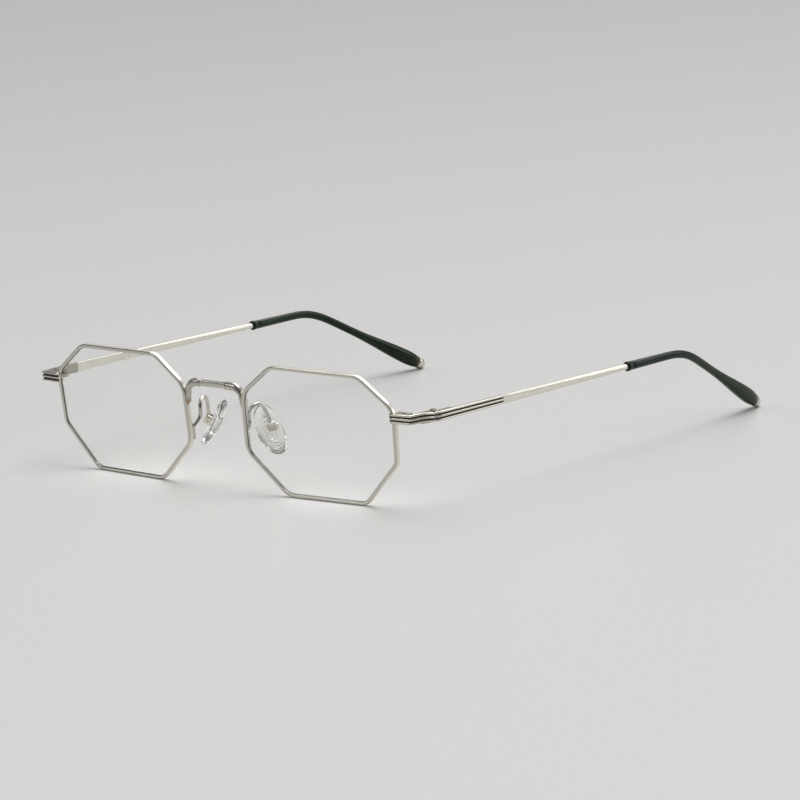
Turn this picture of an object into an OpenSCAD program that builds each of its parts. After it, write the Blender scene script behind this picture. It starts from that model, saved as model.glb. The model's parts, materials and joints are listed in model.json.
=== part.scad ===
// Octagonal wire spectacles, standing open on their lens rims and temple tips.
// The wearer's left is +X, the lenses look along -Y and z = 0 is the surface they stand on.

/* [Lenses] */
// Width of one lens
lens_width = 50.3; // [48:0.1:53]
// Height of one lens
lens_height = 34.2; // [32:0.1:36]
// Gap between the two lenses at the nose
lens_gap = 20.7; // [19:0.1:22]
// Thickness of a lens
lens_thick = 1.3; // [1:0.1:1.6]
// Radius of the lens corners
corner_r = 3; // [1.5:0.1:4]
// How far each front plane leans forward at its top, in degrees
front_lean = 4.1; // [3:0.1:7]
// How far each front plane wraps back towards the temple, in degrees
front_wrap = 3.5; // [2:0.1:5]

/* [Rim wire] */
// Width of the rim seen from the front
rim_face = 0.95; // [0.85:0.05:1.3]
// Depth of the rim from front to back
rim_depth = 1.4; // [1.3:0.05:1.8]
// Depth of the lens groove inside the rim
groove_depth = 0.4; // [0.3:0.05:0.5]
// Width of the lens groove
groove_width = 0.7; // [0.6:0.05:0.8]

/* [Bridge] */
// Height of the bridge bar's axis over the surface
bridge_z = 28.3; // [27.5:0.1:29]
// Thickness of the bar's flattened middle
bridge_mid_d = 1.75; // [1.5:0.05:2]
// Thickness of the bar's round ends and legs
bridge_end_d = 2.2; // [2:0.05:2.5]
// Length of the flattened middle
bridge_mid_w = 8.6; // [7:0.1:10]
// Radius of the bend at each end, on the axis
bridge_bend_r = 2.4; // [2:0.1:3]
// Height of the legs' pointed lower ends
bridge_foot_z = 21.9; // [21:0.1:23]
// Distance of the bridge bar behind the front planes' lower edges
bridge_back = -0.1; // [-0.4:0.05:0.3]

/* [Endpieces] */
// Height of the ribbed bar
bar_h = 2.6; // [2.4:0.05:3]
// Thickness of the ribbed bar
bar_t = 1.1; // [1:0.05:1.3]
// Thickness of the plate over the rim's front
plate_t = 0.7; // [0.6:0.05:0.9]
// Depth of the grooves between the ribs
rib_groove = 0.28; // [0.2:0.02:0.35]
// Distance of the mitred corners outside the lenses
corner_reach = 6.05; // [5.5:0.05:8]
// Height of the plate's middle over the surface
plate_z = 24.4; // [23.5:0.1:25]
// Length of the return from the corner to its bend
return_len = 4.7; // [4:0.1:6]
// How far the return runs outwards, in degrees
return_flare = 10; // [6:0.5:14]
// Length of the return from its bend to the hinge seam
hinge_run = 3.4; // [3:0.1:4.5]
// How far the bent part runs outwards, in degrees
hinge_flare = 19; // [14:0.5:22]
// Depth of the closing block from front to back
lock_depth = 2.2; // [2:0.1:2.6]

/* [Hinges] */
// Height of the hinge knuckles and leaves
hinge_h = 2.9; // [2.6:0.05:3.2]
// Radius of the hinge knuckles
knuckle_r = 1; // [0.9:0.05:1.2]
// Radius of the hinge screw
hinge_screw_r = 0.45; // [0.4:0.05:0.5]
// Distance from the seam back to the hinge axis
hinge_back = 1.25; // [1.2:0.05:1.6]
// Height of the middle knuckle
mid_knuckle_h = 0.95; // [0.8:0.05:1.1]

/* [Temples] */
// Height of the temple's middle at the hinge
temple_z = 24.1; // [23.2:0.1:24.2]
// Distance from the kink behind the seam to the end of the ribs
rib_len = 24.8; // [22:0.2:28]
// Height of the bar where the ribs end
rib_end_h = 2.35; // [2.2:0.05:2.6]
// Distance from the kink to the tip collar
collar_run = 74.1; // [70:0.1:80]
// Distance from the kink to the start of the ear bend
bend_run = 88; // [84:0.5:92]
// Distance from the kink to the end of the tip, measured level
tip_run = 138.5; // [135:0.2:145]
// How far the tips turn inwards
tip_inset = 6.7; // [5:0.1:9]
// How far the straight part falls towards the bend
temple_fall = 1; // [0:0.1:1.4]
// Angle of the tip's end below level
tip_angle = 23; // [18:0.5:27]
// Radius of the metal rod where it enters the tip
rod_r = 0.78; // [0.7:0.02:0.9]
// Radius of the core wire inside the tip
core_r = 0.6; // [0.5:0.02:0.65]

/* [Tips] */
// Half height of the tip behind its collar
tip_start_r = 1.2; // [1.1:0.05:1.4]
// Half height of the tip at its slimmest, on the ear bend
tip_slim_r = 1.06; // [1:0.02:1.2]
// Half height of the tip at its widest, near the end
tip_wide_r = 1.95; // [1.8:0.05:2.1]
// Half height of the tip at the end cap
tip_end_r = 1.7; // [1.5:0.05:1.8]
// Length of the metal end cap
cap_len = 1; // [0.8:0.1:1.3]
// Length of the collar ring
collar_len = 1.6; // [1.2:0.1:2]

/* [Nose pads] */
// Length of a pad
pad_len = 14.3; // [13:0.1:15]
// Width of a pad
pad_w = 7.1; // [6.6:0.1:7.6]
// Thickness of a pad at its middle
pad_t = 2; // [1.8:0.1:2.3]
// Sideways distance of the pad boxes from the lens's nose side
pad_out = 1.25; // [0.6:0.05:1.9]
// Distance of the pad boxes behind the front's reference plane
pad_y = 8.8; // [8.3:0.1:9.3]
// Height of the pad boxes over the surface
pad_z = 16.2; // [15.7:0.1:16.7]
// Thickness of the pad arm wire
arm_wire_d = 1.05; // [0.9:0.05:1.2]
// Width of the box that holds the pad
box_w = 2.8; // [2.6:0.1:3.1]
// Thickness of the lug between the box cheeks
lug_t = 1.1; // [0.9:0.05:1.2]
// Radius of the pad screw
pad_screw_r = 0.4; // [0.35:0.05:0.45]

/* [Hidden] */

metal = [0.80, 0.77, 0.72];
satin = [0.74, 0.72, 0.68];
clear = [0.86, 0.89, 0.90, 0.35];
acetate = [0.07, 0.12, 0.09];
eps = 0.01;
seat = 0.1;
fit_play = 0.05;

// Lens outline, measured from the symmetry plane and the lens's lower edge
nose_x = lens_gap / 2;
side_x = nose_x + lens_width;
corner_x = side_x + corner_reach;
top_cut_nose = [10.6, 7.6];
top_cut_side = [10.7, 8.5];
low_cut_side = [11.9, 11.6];
low_cut_nose = [12.4, 11.1];
side_taper = 0.7;
nose_taper = 0.4;
top_slope = 0.4;
lens_corners = [
  [nose_x + low_cut_nose[0], 0],
  [side_x - low_cut_side[0], 0],
  [side_x - side_taper, low_cut_side[1]],
  [side_x, lens_height - top_cut_side[1]],
  [side_x - top_cut_side[0], lens_height - top_slope],
  [nose_x + top_cut_nose[0], lens_height],
  [nose_x + nose_taper, lens_height - top_cut_nose[1]],
  [nose_x, low_cut_nose[1]]];
arc_steps = 6;
rim_out = rim_face - groove_depth;
front_lift = rim_out * cos(front_lean);
slit = 0.3;
lock_v = (plate_z - front_lift) / cos(front_lean);

function last(list) = list[len(list) - 1];
function unit(v) = v / norm(v);
// Sideways position of the rim's outer edge beside the nose, at a height up the lens
function nose_edge(v) = nose_x - rim_out + nose_taper * (v - low_cut_nose[1])
  / (lens_height - top_cut_nose[1] - low_cut_nose[1]);
// Distance of the front planes behind the origin of the plan, at a sideways position and height
function front_y(x, v) = x * sin(front_wrap) - (v + rim_out) * sin(front_lean);
function edge_angle(i) = let(n = len(lens_corners), d = lens_corners[(i + 1) % n] - lens_corners[i])
  atan2(d[1], d[0]) - 90;
function corner_centre(i) = let(n = len(lens_corners), p = lens_corners[i],
    a = unit(lens_corners[(i + n - 1) % n] - p), b = unit(lens_corners[(i + 1) % n] - p),
    half = acos(a * b) / 2)
  p + unit(a + b) * corner_r / sin(half);
// The lens outline grown by a distance, with round corners about fixed centres
function outline(grow) = [for (i = [0 : len(lens_corners) - 1])
  let(n = len(lens_corners), from = edge_angle((i + n - 1) % n), turn = (edge_angle(i) - from + 720) % 360)
  for (k = [0 : arc_steps])
    let(a = from + turn * k / arc_steps) corner_centre(i) + (corner_r + grow) * [cos(a), sin(a)]];

// Endpiece return and temple in plan, on the bar's outer face: corner, bend, seam and kink
function course(angle) = [sin(angle), cos(angle)];
function outward(angle) = [cos(angle), -sin(angle)];
seam_flare = 14;
kink_len = 1.8;
corner_p = [corner_x, front_y(corner_x, lock_v) - plate_t];
bend_p = corner_p + return_len * course(return_flare);
seam_p = bend_p + hinge_run * course(hinge_flare);
kink_p = seam_p + kink_len * course(seam_flare);
bar_x = kink_p[0] - bar_t / 2;
seam_inner = seam_p - bar_t * outward(seam_flare);
axis_y = seam_p[1] + hinge_back;
kink_inner = [kink_p[0] - bar_t, kink_p[1]];
inner_dir = unit(kink_inner - seam_inner);
// The knuckles clear the bar's slanted inner face
axis_x = seam_inner[0] + ((axis_y - seam_inner[1]) * inner_dir[0] - knuckle_r - fit_play) / inner_dir[1];
plate_u = side_x - rim_out - seat;
rib_gap = 0.44;
rib_pitch = (bar_h + rib_gap) / 3;
return_drop = plate_z - temple_z;

// Temple centreline: straight to the bend, then one smooth curve down and inwards to the tip's end
cap_tail = 0.25;
cap_round = 0.72;
end_z = tip_end_r * cos(tip_angle);
kink_c = [bar_x, kink_p[1], temple_z];
bend_c = kink_c + [0, bend_run, -temple_fall];
end_c = [bar_x - tip_inset, kink_p[1] + tip_run, end_z];
start_dir = unit(bend_c - kink_c);
end_dir = unit([-0.17, 1, -tan(tip_angle)]);
curve_hold = 15.5;
curve_tail = 23;
curve = [bend_c, bend_c + curve_hold * start_dir, end_c - curve_tail * end_dir, end_c];
function bezier(t) = pow(1 - t, 3) * curve[0] + 3 * t * pow(1 - t, 2) * curve[1]
  + 3 * t * t * (1 - t) * curve[2] + t * t * t * curve[3];
function bezier_dir(t) = unit(pow(1 - t, 2) * (curve[1] - curve[0])
  + 2 * t * (1 - t) * (curve[2] - curve[1]) + t * t * (curve[3] - curve[2]));
function straight(run) = kink_c + start_dir * run / start_dir[1];
curve_steps = 22;

// Frame of a ring: a sideways axis and an upright axis, both square to the path
function side_of(d) = unit(cross(d, [0, 0, 1]));
function up_of(d) = cross(side_of(d), d);
// One ring of a sweep: a rounded section of the given half width, half height and squareness
function ring(c, d, half_w, half_h, square, sides) = [for (k = [0 : sides - 1])
  let(a = 360 * (k + 0.5) / sides, e = 2 / square, s = sin(a), q = cos(a))
  c + side_of(d) * half_w * sign(q) * pow(abs(q), e) + up_of(d) * half_h * sign(s) * pow(abs(s), e)];

// Closed skin over a list of rings that all have the same number of points
module skin(rings) {
  n = len(rings[0]);
  m = len(rings);
  points = [for (r = rings) for (p = r) p];
  walls = [for (i = [0 : m - 2]) for (k = [0 : n - 1])
    let(a = i * n + k, b = i * n + (k + 1) % n)
    each [[a, b, b + n], [a, b + n, a + n]]];
  first = [for (k = [n - 1 : -1 : 0]) k];
  final = [for (k = [0 : n - 1]) (m - 1) * n + k];
  polyhedron(points, concat([first], walls, [final]));
}

// Smooth path through points chosen by hand
function spline_point(a, b, c, d, t) = 0.5 * (2 * b + (c - a) * t + (2 * a - 5 * b + 4 * c - d) * t * t
  + (3 * b - a - 3 * c + d) * t * t * t);
function spline(p, steps) = [for (i = [0 : len(p) - 2]) for (k = [0 : steps - 1])
  spline_point(p[max(i - 1, 0)], p[i], p[i + 1], p[min(i + 2, len(p) - 1)], k / steps), last(p)];
function path_dir(p, i) = unit(p[min(i + 1, len(p) - 1)] - p[max(i - 1, 0)]);
function wire_ring(c, d, r, sides) = let(u = unit(cross([1, 0, 0], d)), v = cross(u, d))
  [for (k = [0 : sides - 1]) c + r * (cos(360 * k / sides) * u + sin(360 * k / sides) * v)];
module wire(p, r, sides) {
  skin([for (i = [0 : len(p) - 1]) wire_ring(p[i], path_dir(p, i), r, sides)]);
}

// Reach of the object to the front and back, which sets its origin
front_reach = -front_y(nose_x + top_cut_nose[0], lens_height + rim_out);
back_reach = end_c[1] + cap_tail * end_dir[1] + cap_round * tip_end_r * sin(tip_angle);
stand_y = (front_reach - back_reach) / 2;

module stand() {
  translate([0, stand_y, 0]) children();
}
module both_sides() {
  children();
  mirror([1, 0, 0]) children();
}
// Middle plane of the left rim: x sideways, y up from the lens's lower edge, z to the front
module lens_frame() {
  stand() translate([0, 0, front_lift]) rotate([0, 0, front_wrap]) rotate([90 + front_lean, 0, 0])
    translate([0, 0, -rim_depth / 2]) children();
}
module slab(points, thick) {
  translate([0, 0, -thick / 2]) linear_extrude(thick) polygon(points);
}

// Rim: a wire ring with a lens groove, slit at the lock block
module rim() {
  color(metal) lens_frame() difference() {
    slab(outline(rim_out), rim_depth);
    slab(outline(-groove_depth), 2 * rim_depth);
    slab(outline(fit_play), groove_width);
    translate([side_x - rim_face, lock_v - slit / 2, -rim_depth]) cube([2 * rim_face, slit, 2 * rim_depth]);
  }
}
module lens() {
  color(clear) lens_frame() {
    slab(outline(-groove_depth - fit_play), lens_thick);
    slab(outline(0), groove_width - 2 * fit_play);
  }
}

// Lock block: two halves behind the endpiece plate, drawn together by a screw
lock_wall = 0.25;
lock_x = side_x + rim_out - 0.3;
lock_end_x = corner_x - bar_t - lock_wall;
lock_screw_x = (side_x + rim_out + lock_end_x) / 2;
lock_screw_r = 0.5;
lock_head_r = 0.85;
lock_head_h = 0.6;
lock_z = (rim_depth - lock_depth) / 2;
module lock_block() {
  half_h = (bar_h - slit) / 2;
  color(metal) lens_frame() difference() {
    for (s = [-1, 1])
      translate([lock_x, lock_v + (s > 0 ? slit / 2 : -slit / 2 - half_h), rim_depth / 2 - lock_depth])
        cube([lock_end_x - lock_x, half_h, lock_depth]);
    slab(outline(rim_out), 2 * rim_depth);
    lock_axis() cylinder(r = lock_screw_r + fit_play, h = 3 * bar_h, center = true, $fn = 32);
    lock_axis() translate([0, 0, -bar_h / 2 - eps])
      cylinder(r = lock_head_r + fit_play, h = lock_head_h + eps, $fn = 32);
  }
}
module lock_axis() {
  translate([lock_screw_x, lock_v, lock_z]) rotate([-90, 0, 0]) children();
}
module lock_screw() {
  slot_w = 0.25;
  color(satin) lens_frame() lock_axis() difference() {
    union() {
      translate([0, 0, -bar_h / 2]) cylinder(r = lock_screw_r, h = bar_h - 0.2, $fn = 32);
      translate([0, 0, -bar_h / 2]) cylinder(r = lock_head_r, h = lock_head_h - fit_play, $fn = 32);
    }
    translate([-lock_head_r, -slot_w / 2, -bar_h / 2 - eps]) cube([2 * lock_head_r, slot_w, slot_w]);
  }
}

// Endpiece: a ribbed plate over the rim's front, mitred into a ribbed return that runs back to the hinge
module rib_cuts(from, to) {
  for (s = [-1, 1])
    translate([from, s * rib_pitch / 2 - rib_gap / 2, -rib_groove])
      cube([to - from, rib_gap, 2 * rib_groove]);
}
// Frame of a bar of the return: x along the bar, y up and z out of its ribbed face
module bar_frame(from, z, flare, fall) {
  stand() translate([from[0], from[1], z]) rotate([0, 0, -flare]) rotate([-fall, 0, 0])
    rotate([90, 0, 90]) children();
}
module ribbed_bar(from, to, thick) {
  difference() {
    translate([from, -bar_h / 2, -thick]) cube([to - from, bar_h, thick]);
    rib_cuts(from - eps, to + eps);
  }
}
module endpiece() {
  plate_end = corner_x / cos(front_wrap) + eps;
  fall = asin(return_drop / hinge_run);
  lap = 0.5;
  overrun = bar_h / 2 * sin(fall);
  color(metal) {
    lens_frame() translate([0, lock_v, rim_depth / 2 + plate_t]) ribbed_bar(plate_u, plate_end, plate_t);
    bar_frame(corner_p, plate_z, return_flare, 0) ribbed_bar(0, return_len, bar_t);
    intersection() {
      bar_frame(bend_p, plate_z, hinge_flare, fall)
        ribbed_bar(-overrun - lap, hinge_run + overrun, bar_t);
      stand() linear_extrude(2 * plate_z) polygon([
        bend_p + bar_t * outward(hinge_flare) - lap * course(hinge_flare),
        seam_p + bar_t * outward(hinge_flare) - fit_play * course(seam_flare),
        seam_p - fit_play * course(seam_flare), seam_inner - fit_play * course(seam_flare),
        seam_inner - bar_t * outward(seam_flare),
        bend_p - 2 * bar_t * outward(hinge_flare) - lap * course(hinge_flare)]);
    }
  }
}

// Hinge: two knuckles on the endpiece, one between them on the temple, and a screw down the axis
leaf_t = 0.65;
knuckle_gap = 0.05;
outer_knuckle_h = (hinge_h - mid_knuckle_h) / 2 - knuckle_gap;
module hinge_axis() {
  stand() translate([axis_x, axis_y, temple_z]) children();
}
module knuckle(z, h, bore) {
  translate([0, 0, z]) difference() {
    cylinder(r = knuckle_r, h = h, $fn = 40);
    translate([0, 0, -eps]) cylinder(r = bore, h = h + 2 * eps, $fn = 32);
  }
}
module hinge_front_leaf() {
  reach = 3.4;
  bore = hinge_screw_r + fit_play / 2;
  rel = seam_inner - [axis_x, axis_y];
  back = rel - reach * course(hinge_flare);
  color(satin) hinge_axis() difference() {
    for (s = [-1, 1]) {
      z = s > 0 ? mid_knuckle_h / 2 + knuckle_gap : -hinge_h / 2;
      translate([0, 0, z]) {
        cylinder(r = knuckle_r, h = outer_knuckle_h, $fn = 40);
        linear_extrude(outer_knuckle_h) polygon([[-knuckle_r, 0], back - [leaf_t, 0], back,
          rel - fit_play * course(seam_flare), [0.3 * knuckle_r, 0]]);
      }
    }
    cylinder(r = bore, h = 2 * hinge_h, center = true, $fn = 32);
  }
}
module hinge_temple_leaf() {
  leaf_len = 4.6;
  leaf_gap = 0.12;
  bore = hinge_screw_r + fit_play;
  inner = kink_inner[0] - axis_x;
  color(satin) hinge_axis() difference() {
    union() {
      translate([0, 0, -mid_knuckle_h / 2]) cylinder(r = knuckle_r, h = mid_knuckle_h, $fn = 40);
      translate([inner - leaf_t, 0, -mid_knuckle_h / 2]) cube([leaf_t, 2 * knuckle_r, mid_knuckle_h]);
      translate([inner - leaf_t, knuckle_r + leaf_gap, -hinge_h / 2 + 0.1])
        cube([leaf_t, leaf_len, hinge_h - 0.2]);
    }
    cylinder(r = bore, h = 2 * hinge_h, center = true, $fn = 32);
  }
}
module hinge_screw() {
  head_h = 0.25;
  slot_w = 0.22;
  color(satin) hinge_axis() difference() {
    union() {
      translate([0, 0, -hinge_h / 2]) cylinder(r = hinge_screw_r, h = hinge_h, $fn = 32);
      translate([0, 0, hinge_h / 2]) cylinder(r = 0.85 * knuckle_r, h = head_h, $fn = 32);
    }
    translate([-knuckle_r, -slot_w / 2, hinge_h / 2 + head_h / 2]) cube([2 * knuckle_r, slot_w, head_h]);
  }
}

// Temple: a ribbed bar, then a flat side that slims into a rod, then the core wire inside the tip
core_start = 0.3;
core_end_t = 0.86;
sleeve_lead = 5;
flat_rings = [0, 0.08, 0.2, 0.42, 0.68, 1];
// The flat side slims from the bar's section to the round rod, by its share of the way
function flat_ring(t) = ring(straight(rib_len - seat + t * (collar_run - rib_len + seat)), start_dir,
  bar_t / 2 * (1 - t) + rod_r * t, rib_end_h / 2 * (1 - t) + rod_r * t, 5 - 3 * sqrt(t), 24);
module temple() {
  side_end_h = rib_end_h / 2;
  color(metal) {
    stand() intersection() {
      linear_extrude(2 * temple_z) polygon([seam_p, kink_p, kink_p + [0, rib_len],
        kink_inner + [0, rib_len], kink_inner, seam_inner]);
      rotate([90, 0, 90]) linear_extrude(2 * corner_x) polygon([
        [seam_p[1], temple_z - bar_h / 2], [kink_p[1] + rib_len, straight(rib_len)[2] - side_end_h],
        [kink_p[1] + rib_len, straight(rib_len)[2] + side_end_h], [seam_p[1], temple_z + bar_h / 2]]);
      rib_relief();
    }
    stand() skin([for (t = flat_rings) flat_ring(t)]);
    stand() core(core_r, collar_run - core_start, core_end_t);
  }
}
// Round rod along the temple's centreline, from a run before the ear bend to a share of the bend
module core(r, from, end_t) {
  skin(concat(
    [for (run = [from, collar_run + sleeve_lead]) ring(straight(run), start_dir, r, r, 2, 12)],
    [for (k = [0 : curve_steps])
      let(t = end_t * k / curve_steps)
      ring(bezier(t), bezier_dir(t), r, r, 2, 12)]));
}
// Space that the ribbed bar keeps once its two grooves are cut
module rib_relief() {
  difference() {
    translate([0, seam_p[1] - 1, 0]) cube([2 * corner_x, rib_len + 10, 2 * temple_z]);
    for (s = [-1, 1]) {
      z0 = temple_z + s * rib_pitch / 2;
      z1 = straight(rib_len)[2] + s * rib_pitch / 2 * rib_end_h / bar_h;
      translate([kink_p[0] - rib_groove, 0, 0]) rotate([90, 0, 90]) linear_extrude(1) polygon([
        [kink_p[1] - eps, z0 - rib_gap / 2], [kink_p[1] + rib_len - 0.6, z1 - rib_gap * 0.42],
        [kink_p[1] + rib_len - 0.6, z1 + rib_gap * 0.42], [kink_p[1] - eps, z0 + rib_gap / 2]]);
      translate([seam_p[0], seam_p[1], z0 - rib_gap / 2]) rotate([0, 0, -seam_flare])
        translate([-rib_groove, -eps, 0]) cube([1, kink_len + 0.05, rib_gap]);
    }
  }
}

// Tip: a dark sleeve that swells towards its end, bored for the core wire, with a collar and an end cap
collar_r = rod_r + 0.5;
module tip_collar() {
  fall = atan(temple_fall / bend_run);
  color(acetate) stand() translate(straight(collar_run + fit_play)) rotate([-90 - fall, 0, 0])
    difference() {
      cylinder(r = collar_r, h = collar_len - fit_play, $fn = 36);
      translate([0, 0, -eps]) cylinder(r = core_r + fit_play, h = collar_len, $fn = 24);
    }
}
function blend(a, b, t) = a + (b - a) * (t < 0 ? 0 : t > 1 ? 1 : t * t * (3 - 2 * t));
function tip_half_h(t) = t < 0.55 ? blend(tip_start_r, tip_slim_r, t / 0.35)
  : t < 0.88 ? blend(tip_slim_r, tip_wide_r, (t - 0.5) / 0.38)
  : blend(tip_wide_r, tip_end_r, (t - 0.88) / 0.12);
function tip_half_w(t) = 0.86 * tip_half_h(t);
tip_steps = 20;
tip_square = 2.3;
cap_t = 1 - cap_len / (3 * curve_tail);
bore_past = 0.004;
function tip_ring(t) = ring(bezier(t), bezier_dir(t), tip_half_w(t), tip_half_h(t), tip_square, 20);
module temple_tip() {
  color(acetate) stand() difference() {
    skin(concat(
      [for (run = [collar_run + collar_len, collar_run + collar_len + sleeve_lead])
        ring(straight(run), start_dir, tip_start_r, tip_start_r, 2, 20)],
      [for (k = [0 : tip_steps]) tip_ring(cap_t * k / tip_steps)]));
    core(core_r + fit_play, collar_run + collar_len - core_start, core_end_t + bore_past);
  }
}
module end_cap() {
  cap_seam = 0.0006;
  color(metal) stand() skin([tip_ring(cap_t + cap_seam), tip_ring(1),
    ring(end_c + cap_tail * end_dir, end_dir, tip_half_w(1) * cap_round, tip_half_h(1) * cap_round,
      tip_square, 20)]);
}

// Bridge: a bar with a flattened middle, bent down at both ends into pointed legs beside the rims
bridge_sink = 0.15;
leg_x = nose_edge(bridge_foot_z + bridge_mid_d) - bridge_end_d / 2 + bridge_sink;
module bridge() {
  flat = 0.22;
  point_h = 3;
  point_r = 0.25;
  leg_top = bridge_z - bridge_bend_r;
  run_x = leg_x - bridge_bend_r;
  color(metal) stand() translate([0, bridge_back, 0]) {
    translate([0, 0, bridge_z]) intersection() {
      rotate([0, 90, 0])
        cylinder(r = bridge_mid_d / 2, h = bridge_mid_w + 2 * seat, center = true, $fn = 48);
      translate([-bridge_mid_w, -bridge_mid_d / 2 + flat, -bridge_mid_d])
        cube(2 * [bridge_mid_w, bridge_mid_d, bridge_mid_d]);
    }
    both_sides() {
      translate([bridge_mid_w / 2, 0, bridge_z]) rotate([0, 90, 0])
        cylinder(r = bridge_end_d / 2, h = run_x - bridge_mid_w / 2, $fn = 48);
      translate([run_x, 0, leg_top]) rotate([90, 0, 0])
        rotate_extrude(angle = 90, $fn = 64) translate([bridge_bend_r, 0])
          circle(r = bridge_end_d / 2, $fn = 48);
      translate([leg_x, 0, bridge_foot_z + point_h])
        cylinder(r = bridge_end_d / 2, h = leg_top - bridge_foot_z - point_h, $fn = 48);
      // The point ends a little inside the leg
      skin([for (t = [0, 0.12, 0.3, 0.6, 1])
        let(reach = bridge_end_d / 2 - 0.01, r = point_r + (reach - 0.01 - point_r) * pow(t, 0.8))
        wire_ring([leg_x + reach - r, 0, bridge_foot_z + t * (point_h + seat)], [0, 0, 1], r, 30)]);
    }
  }
}
// Small tab brazed on the back of the rim behind each bridge leg
module rim_tab() {
  tab = [0.8, 3.2, 0.9];
  tab_v = bridge_foot_z - front_lift + 0.4;
  color(metal) lens_frame() translate([nose_edge(tab_v) + 0.1, tab_v, -rim_depth / 2 - tab[2]]) cube(tab);
}

// Pad arm: a foot on the back of the rim and a looped wire up and back down to the pad box
foot_len = 4.2;
foot_w = 1;
foot_t = 0.75;
foot_v = 11.7;
pad_x = nose_x + pad_out;
pad_c = [pad_x, pad_y, pad_z];
pad_along = unit([0.54, -0.08, -0.84]);
pad_look = [-0.71, 0.49, -0.5];
pad_face = unit(pad_look - (pad_look * pad_along) * pad_along);
pad_across = cross(pad_face, pad_along);
foot_end_v = foot_v + foot_len - arm_wire_d / 2;
foot_top = [nose_edge(foot_end_v), front_y(nose_x, foot_end_v) + rim_depth + foot_t / 2,
  foot_end_v + front_lift];
loop_top = foot_top + [0.25, 4.7, 7.05];
box_d = 2.2;
box_in = 0.45;
wire_sink = 0.25;
wire_end = pad_c - (box_d / 2 + wire_sink) * pad_face - 0.4 * pad_along;
arm_rise = [[0, 0, 0], [-0.4, 1.1, 1.2], [-0.7, 1.9, 2.4], [-0.85, 2, 4], [-0.7, 2.2, 5.5],
  [-0.3, 3.1, 6.6]];
arm_fall = [[0, 0, 0], [0.3, 1.15, -0.8], [0.8, 1.75, -2.4], [1.6, 2.05, -4.1]];
arm_path = spline(concat([for (d = arm_rise) foot_top + d], [for (d = arm_fall) loop_top + d], [wire_end]), 3);
module pad_arm() {
  color(metal) {
    lens_frame() translate([nose_edge(foot_v), foot_v, -rim_depth / 2 - foot_t])
      cube([foot_w, foot_len, foot_t]);
    stand() wire(arm_path, arm_wire_d / 2, 10);
  }
}
// Frame of the left pad: x along the pad's length, y across it and z towards the nose
module pad_frame() {
  turn = [atan2(pad_across[2], pad_face[2]), -asin(pad_along[2]), atan2(pad_along[1], pad_along[0])];
  stand() translate(pad_c) rotate(turn) children();
}
lug_gap = 0.1;
cheek_t = (box_w - lug_t) / 2 - lug_gap;
pad_back = box_d / 2 + 0.3;
pad_bow = 1;
lug_r = 0.62;
anchor = [4.6, 2.6, 0.5];
anchor_z = pad_back + 0.5;
module pad_box() {
  length = 2.9;
  color(satin) pad_frame() difference() {
    translate([-length / 2, -box_w / 2, -box_d / 2]) cube([length, box_w, box_d]);
    translate([-length, -lug_t / 2 - lug_gap, -box_d / 2 + box_in])
      cube([2 * length, lug_t + 2 * lug_gap, box_d]);
    rotate([90, 0, 0]) cylinder(r = pad_screw_r + fit_play / 2, h = 2 * box_w, center = true, $fn = 28);
  }
}
module pad_screw() {
  color(satin) pad_frame() rotate([90, 0, 0]) {
    translate([0, 0, -box_w / 2]) cylinder(r = pad_screw_r, h = box_w, $fn = 28);
    translate([0, 0, box_w / 2]) cylinder(r = 0.8, h = 0.35, $fn = 32);
  }
}
module pad_lug() {
  color(clear) pad_frame() difference() {
    union() {
      rotate([90, 0, 0]) cylinder(r = lug_r, h = lug_t, center = true, $fn = 32);
      translate([-lug_r, -lug_t / 2, 0]) cube([2 * lug_r, lug_t, anchor_z + eps]);
      translate([-anchor[0] / 2, -anchor[1] / 2, anchor_z]) cube(anchor);
    }
    rotate([90, 0, 0]) cylinder(r = pad_screw_r + fit_play, h = 2 * box_w, center = true, $fn = 28);
  }
}
function pad_ring(x, half_w, half_t, sides) =
  let(z = pad_back + pad_t / 2 - pad_bow * pow(2 * x / pad_len, 2))
  [for (k = [0 : sides - 1]) let(a = 360 * k / sides) [x, half_w * cos(a), z - half_t * sin(a)]];
module nose_pad() {
  pocket = 0.04;
  steps = 14;
  color(clear) pad_frame() difference() {
    skin([for (i = [0 : steps]) let(a = 180 * (i + 0.35) / (steps + 0.7), x = -pad_len / 2 * cos(a))
      pad_ring(x, pad_w / 2 * pow(sin(a), 0.85), pad_t / 2 * pow(sin(a), 0.5), 24)]);
    room = anchor + 2 * [pocket, pocket, pocket];
    translate([-room[0] / 2, -room[1] / 2, anchor_z - pocket]) cube(room);
    translate([-lug_r - pocket, -lug_t / 2 - pocket, 0])
      cube([2 * (lug_r + pocket), lug_t + 2 * pocket, anchor_z + eps]);
  }
}

rim();  // rim_left
mirror([1, 0, 0]) rim();  // rim_right
lens();  // lens_left
mirror([1, 0, 0]) lens();  // lens_right
bridge();
rim_tab();  // rim_tab_left
mirror([1, 0, 0]) rim_tab();  // rim_tab_right
lock_block();  // lock_block_left
mirror([1, 0, 0]) lock_block();  // lock_block_right
both_sides() lock_screw();  // lock_screws
endpiece();  // endpiece_left
mirror([1, 0, 0]) endpiece();  // endpiece_right
hinge_front_leaf();  // hinge_front_leaf_left
mirror([1, 0, 0]) hinge_front_leaf();  // hinge_front_leaf_right
hinge_temple_leaf();  // hinge_temple_leaf_left
mirror([1, 0, 0]) hinge_temple_leaf();  // hinge_temple_leaf_right
both_sides() hinge_screw();  // hinge_screws
temple();  // temple_left
mirror([1, 0, 0]) temple();  // temple_right
tip_collar();  // tip_collar_left
mirror([1, 0, 0]) tip_collar();  // tip_collar_right
temple_tip();  // temple_tip_left
mirror([1, 0, 0]) temple_tip();  // temple_tip_right
end_cap();  // end_cap_left
mirror([1, 0, 0]) end_cap();  // end_cap_right
pad_arm();  // pad_arm_left
mirror([1, 0, 0]) pad_arm();  // pad_arm_right
pad_box();  // pad_box_left
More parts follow.
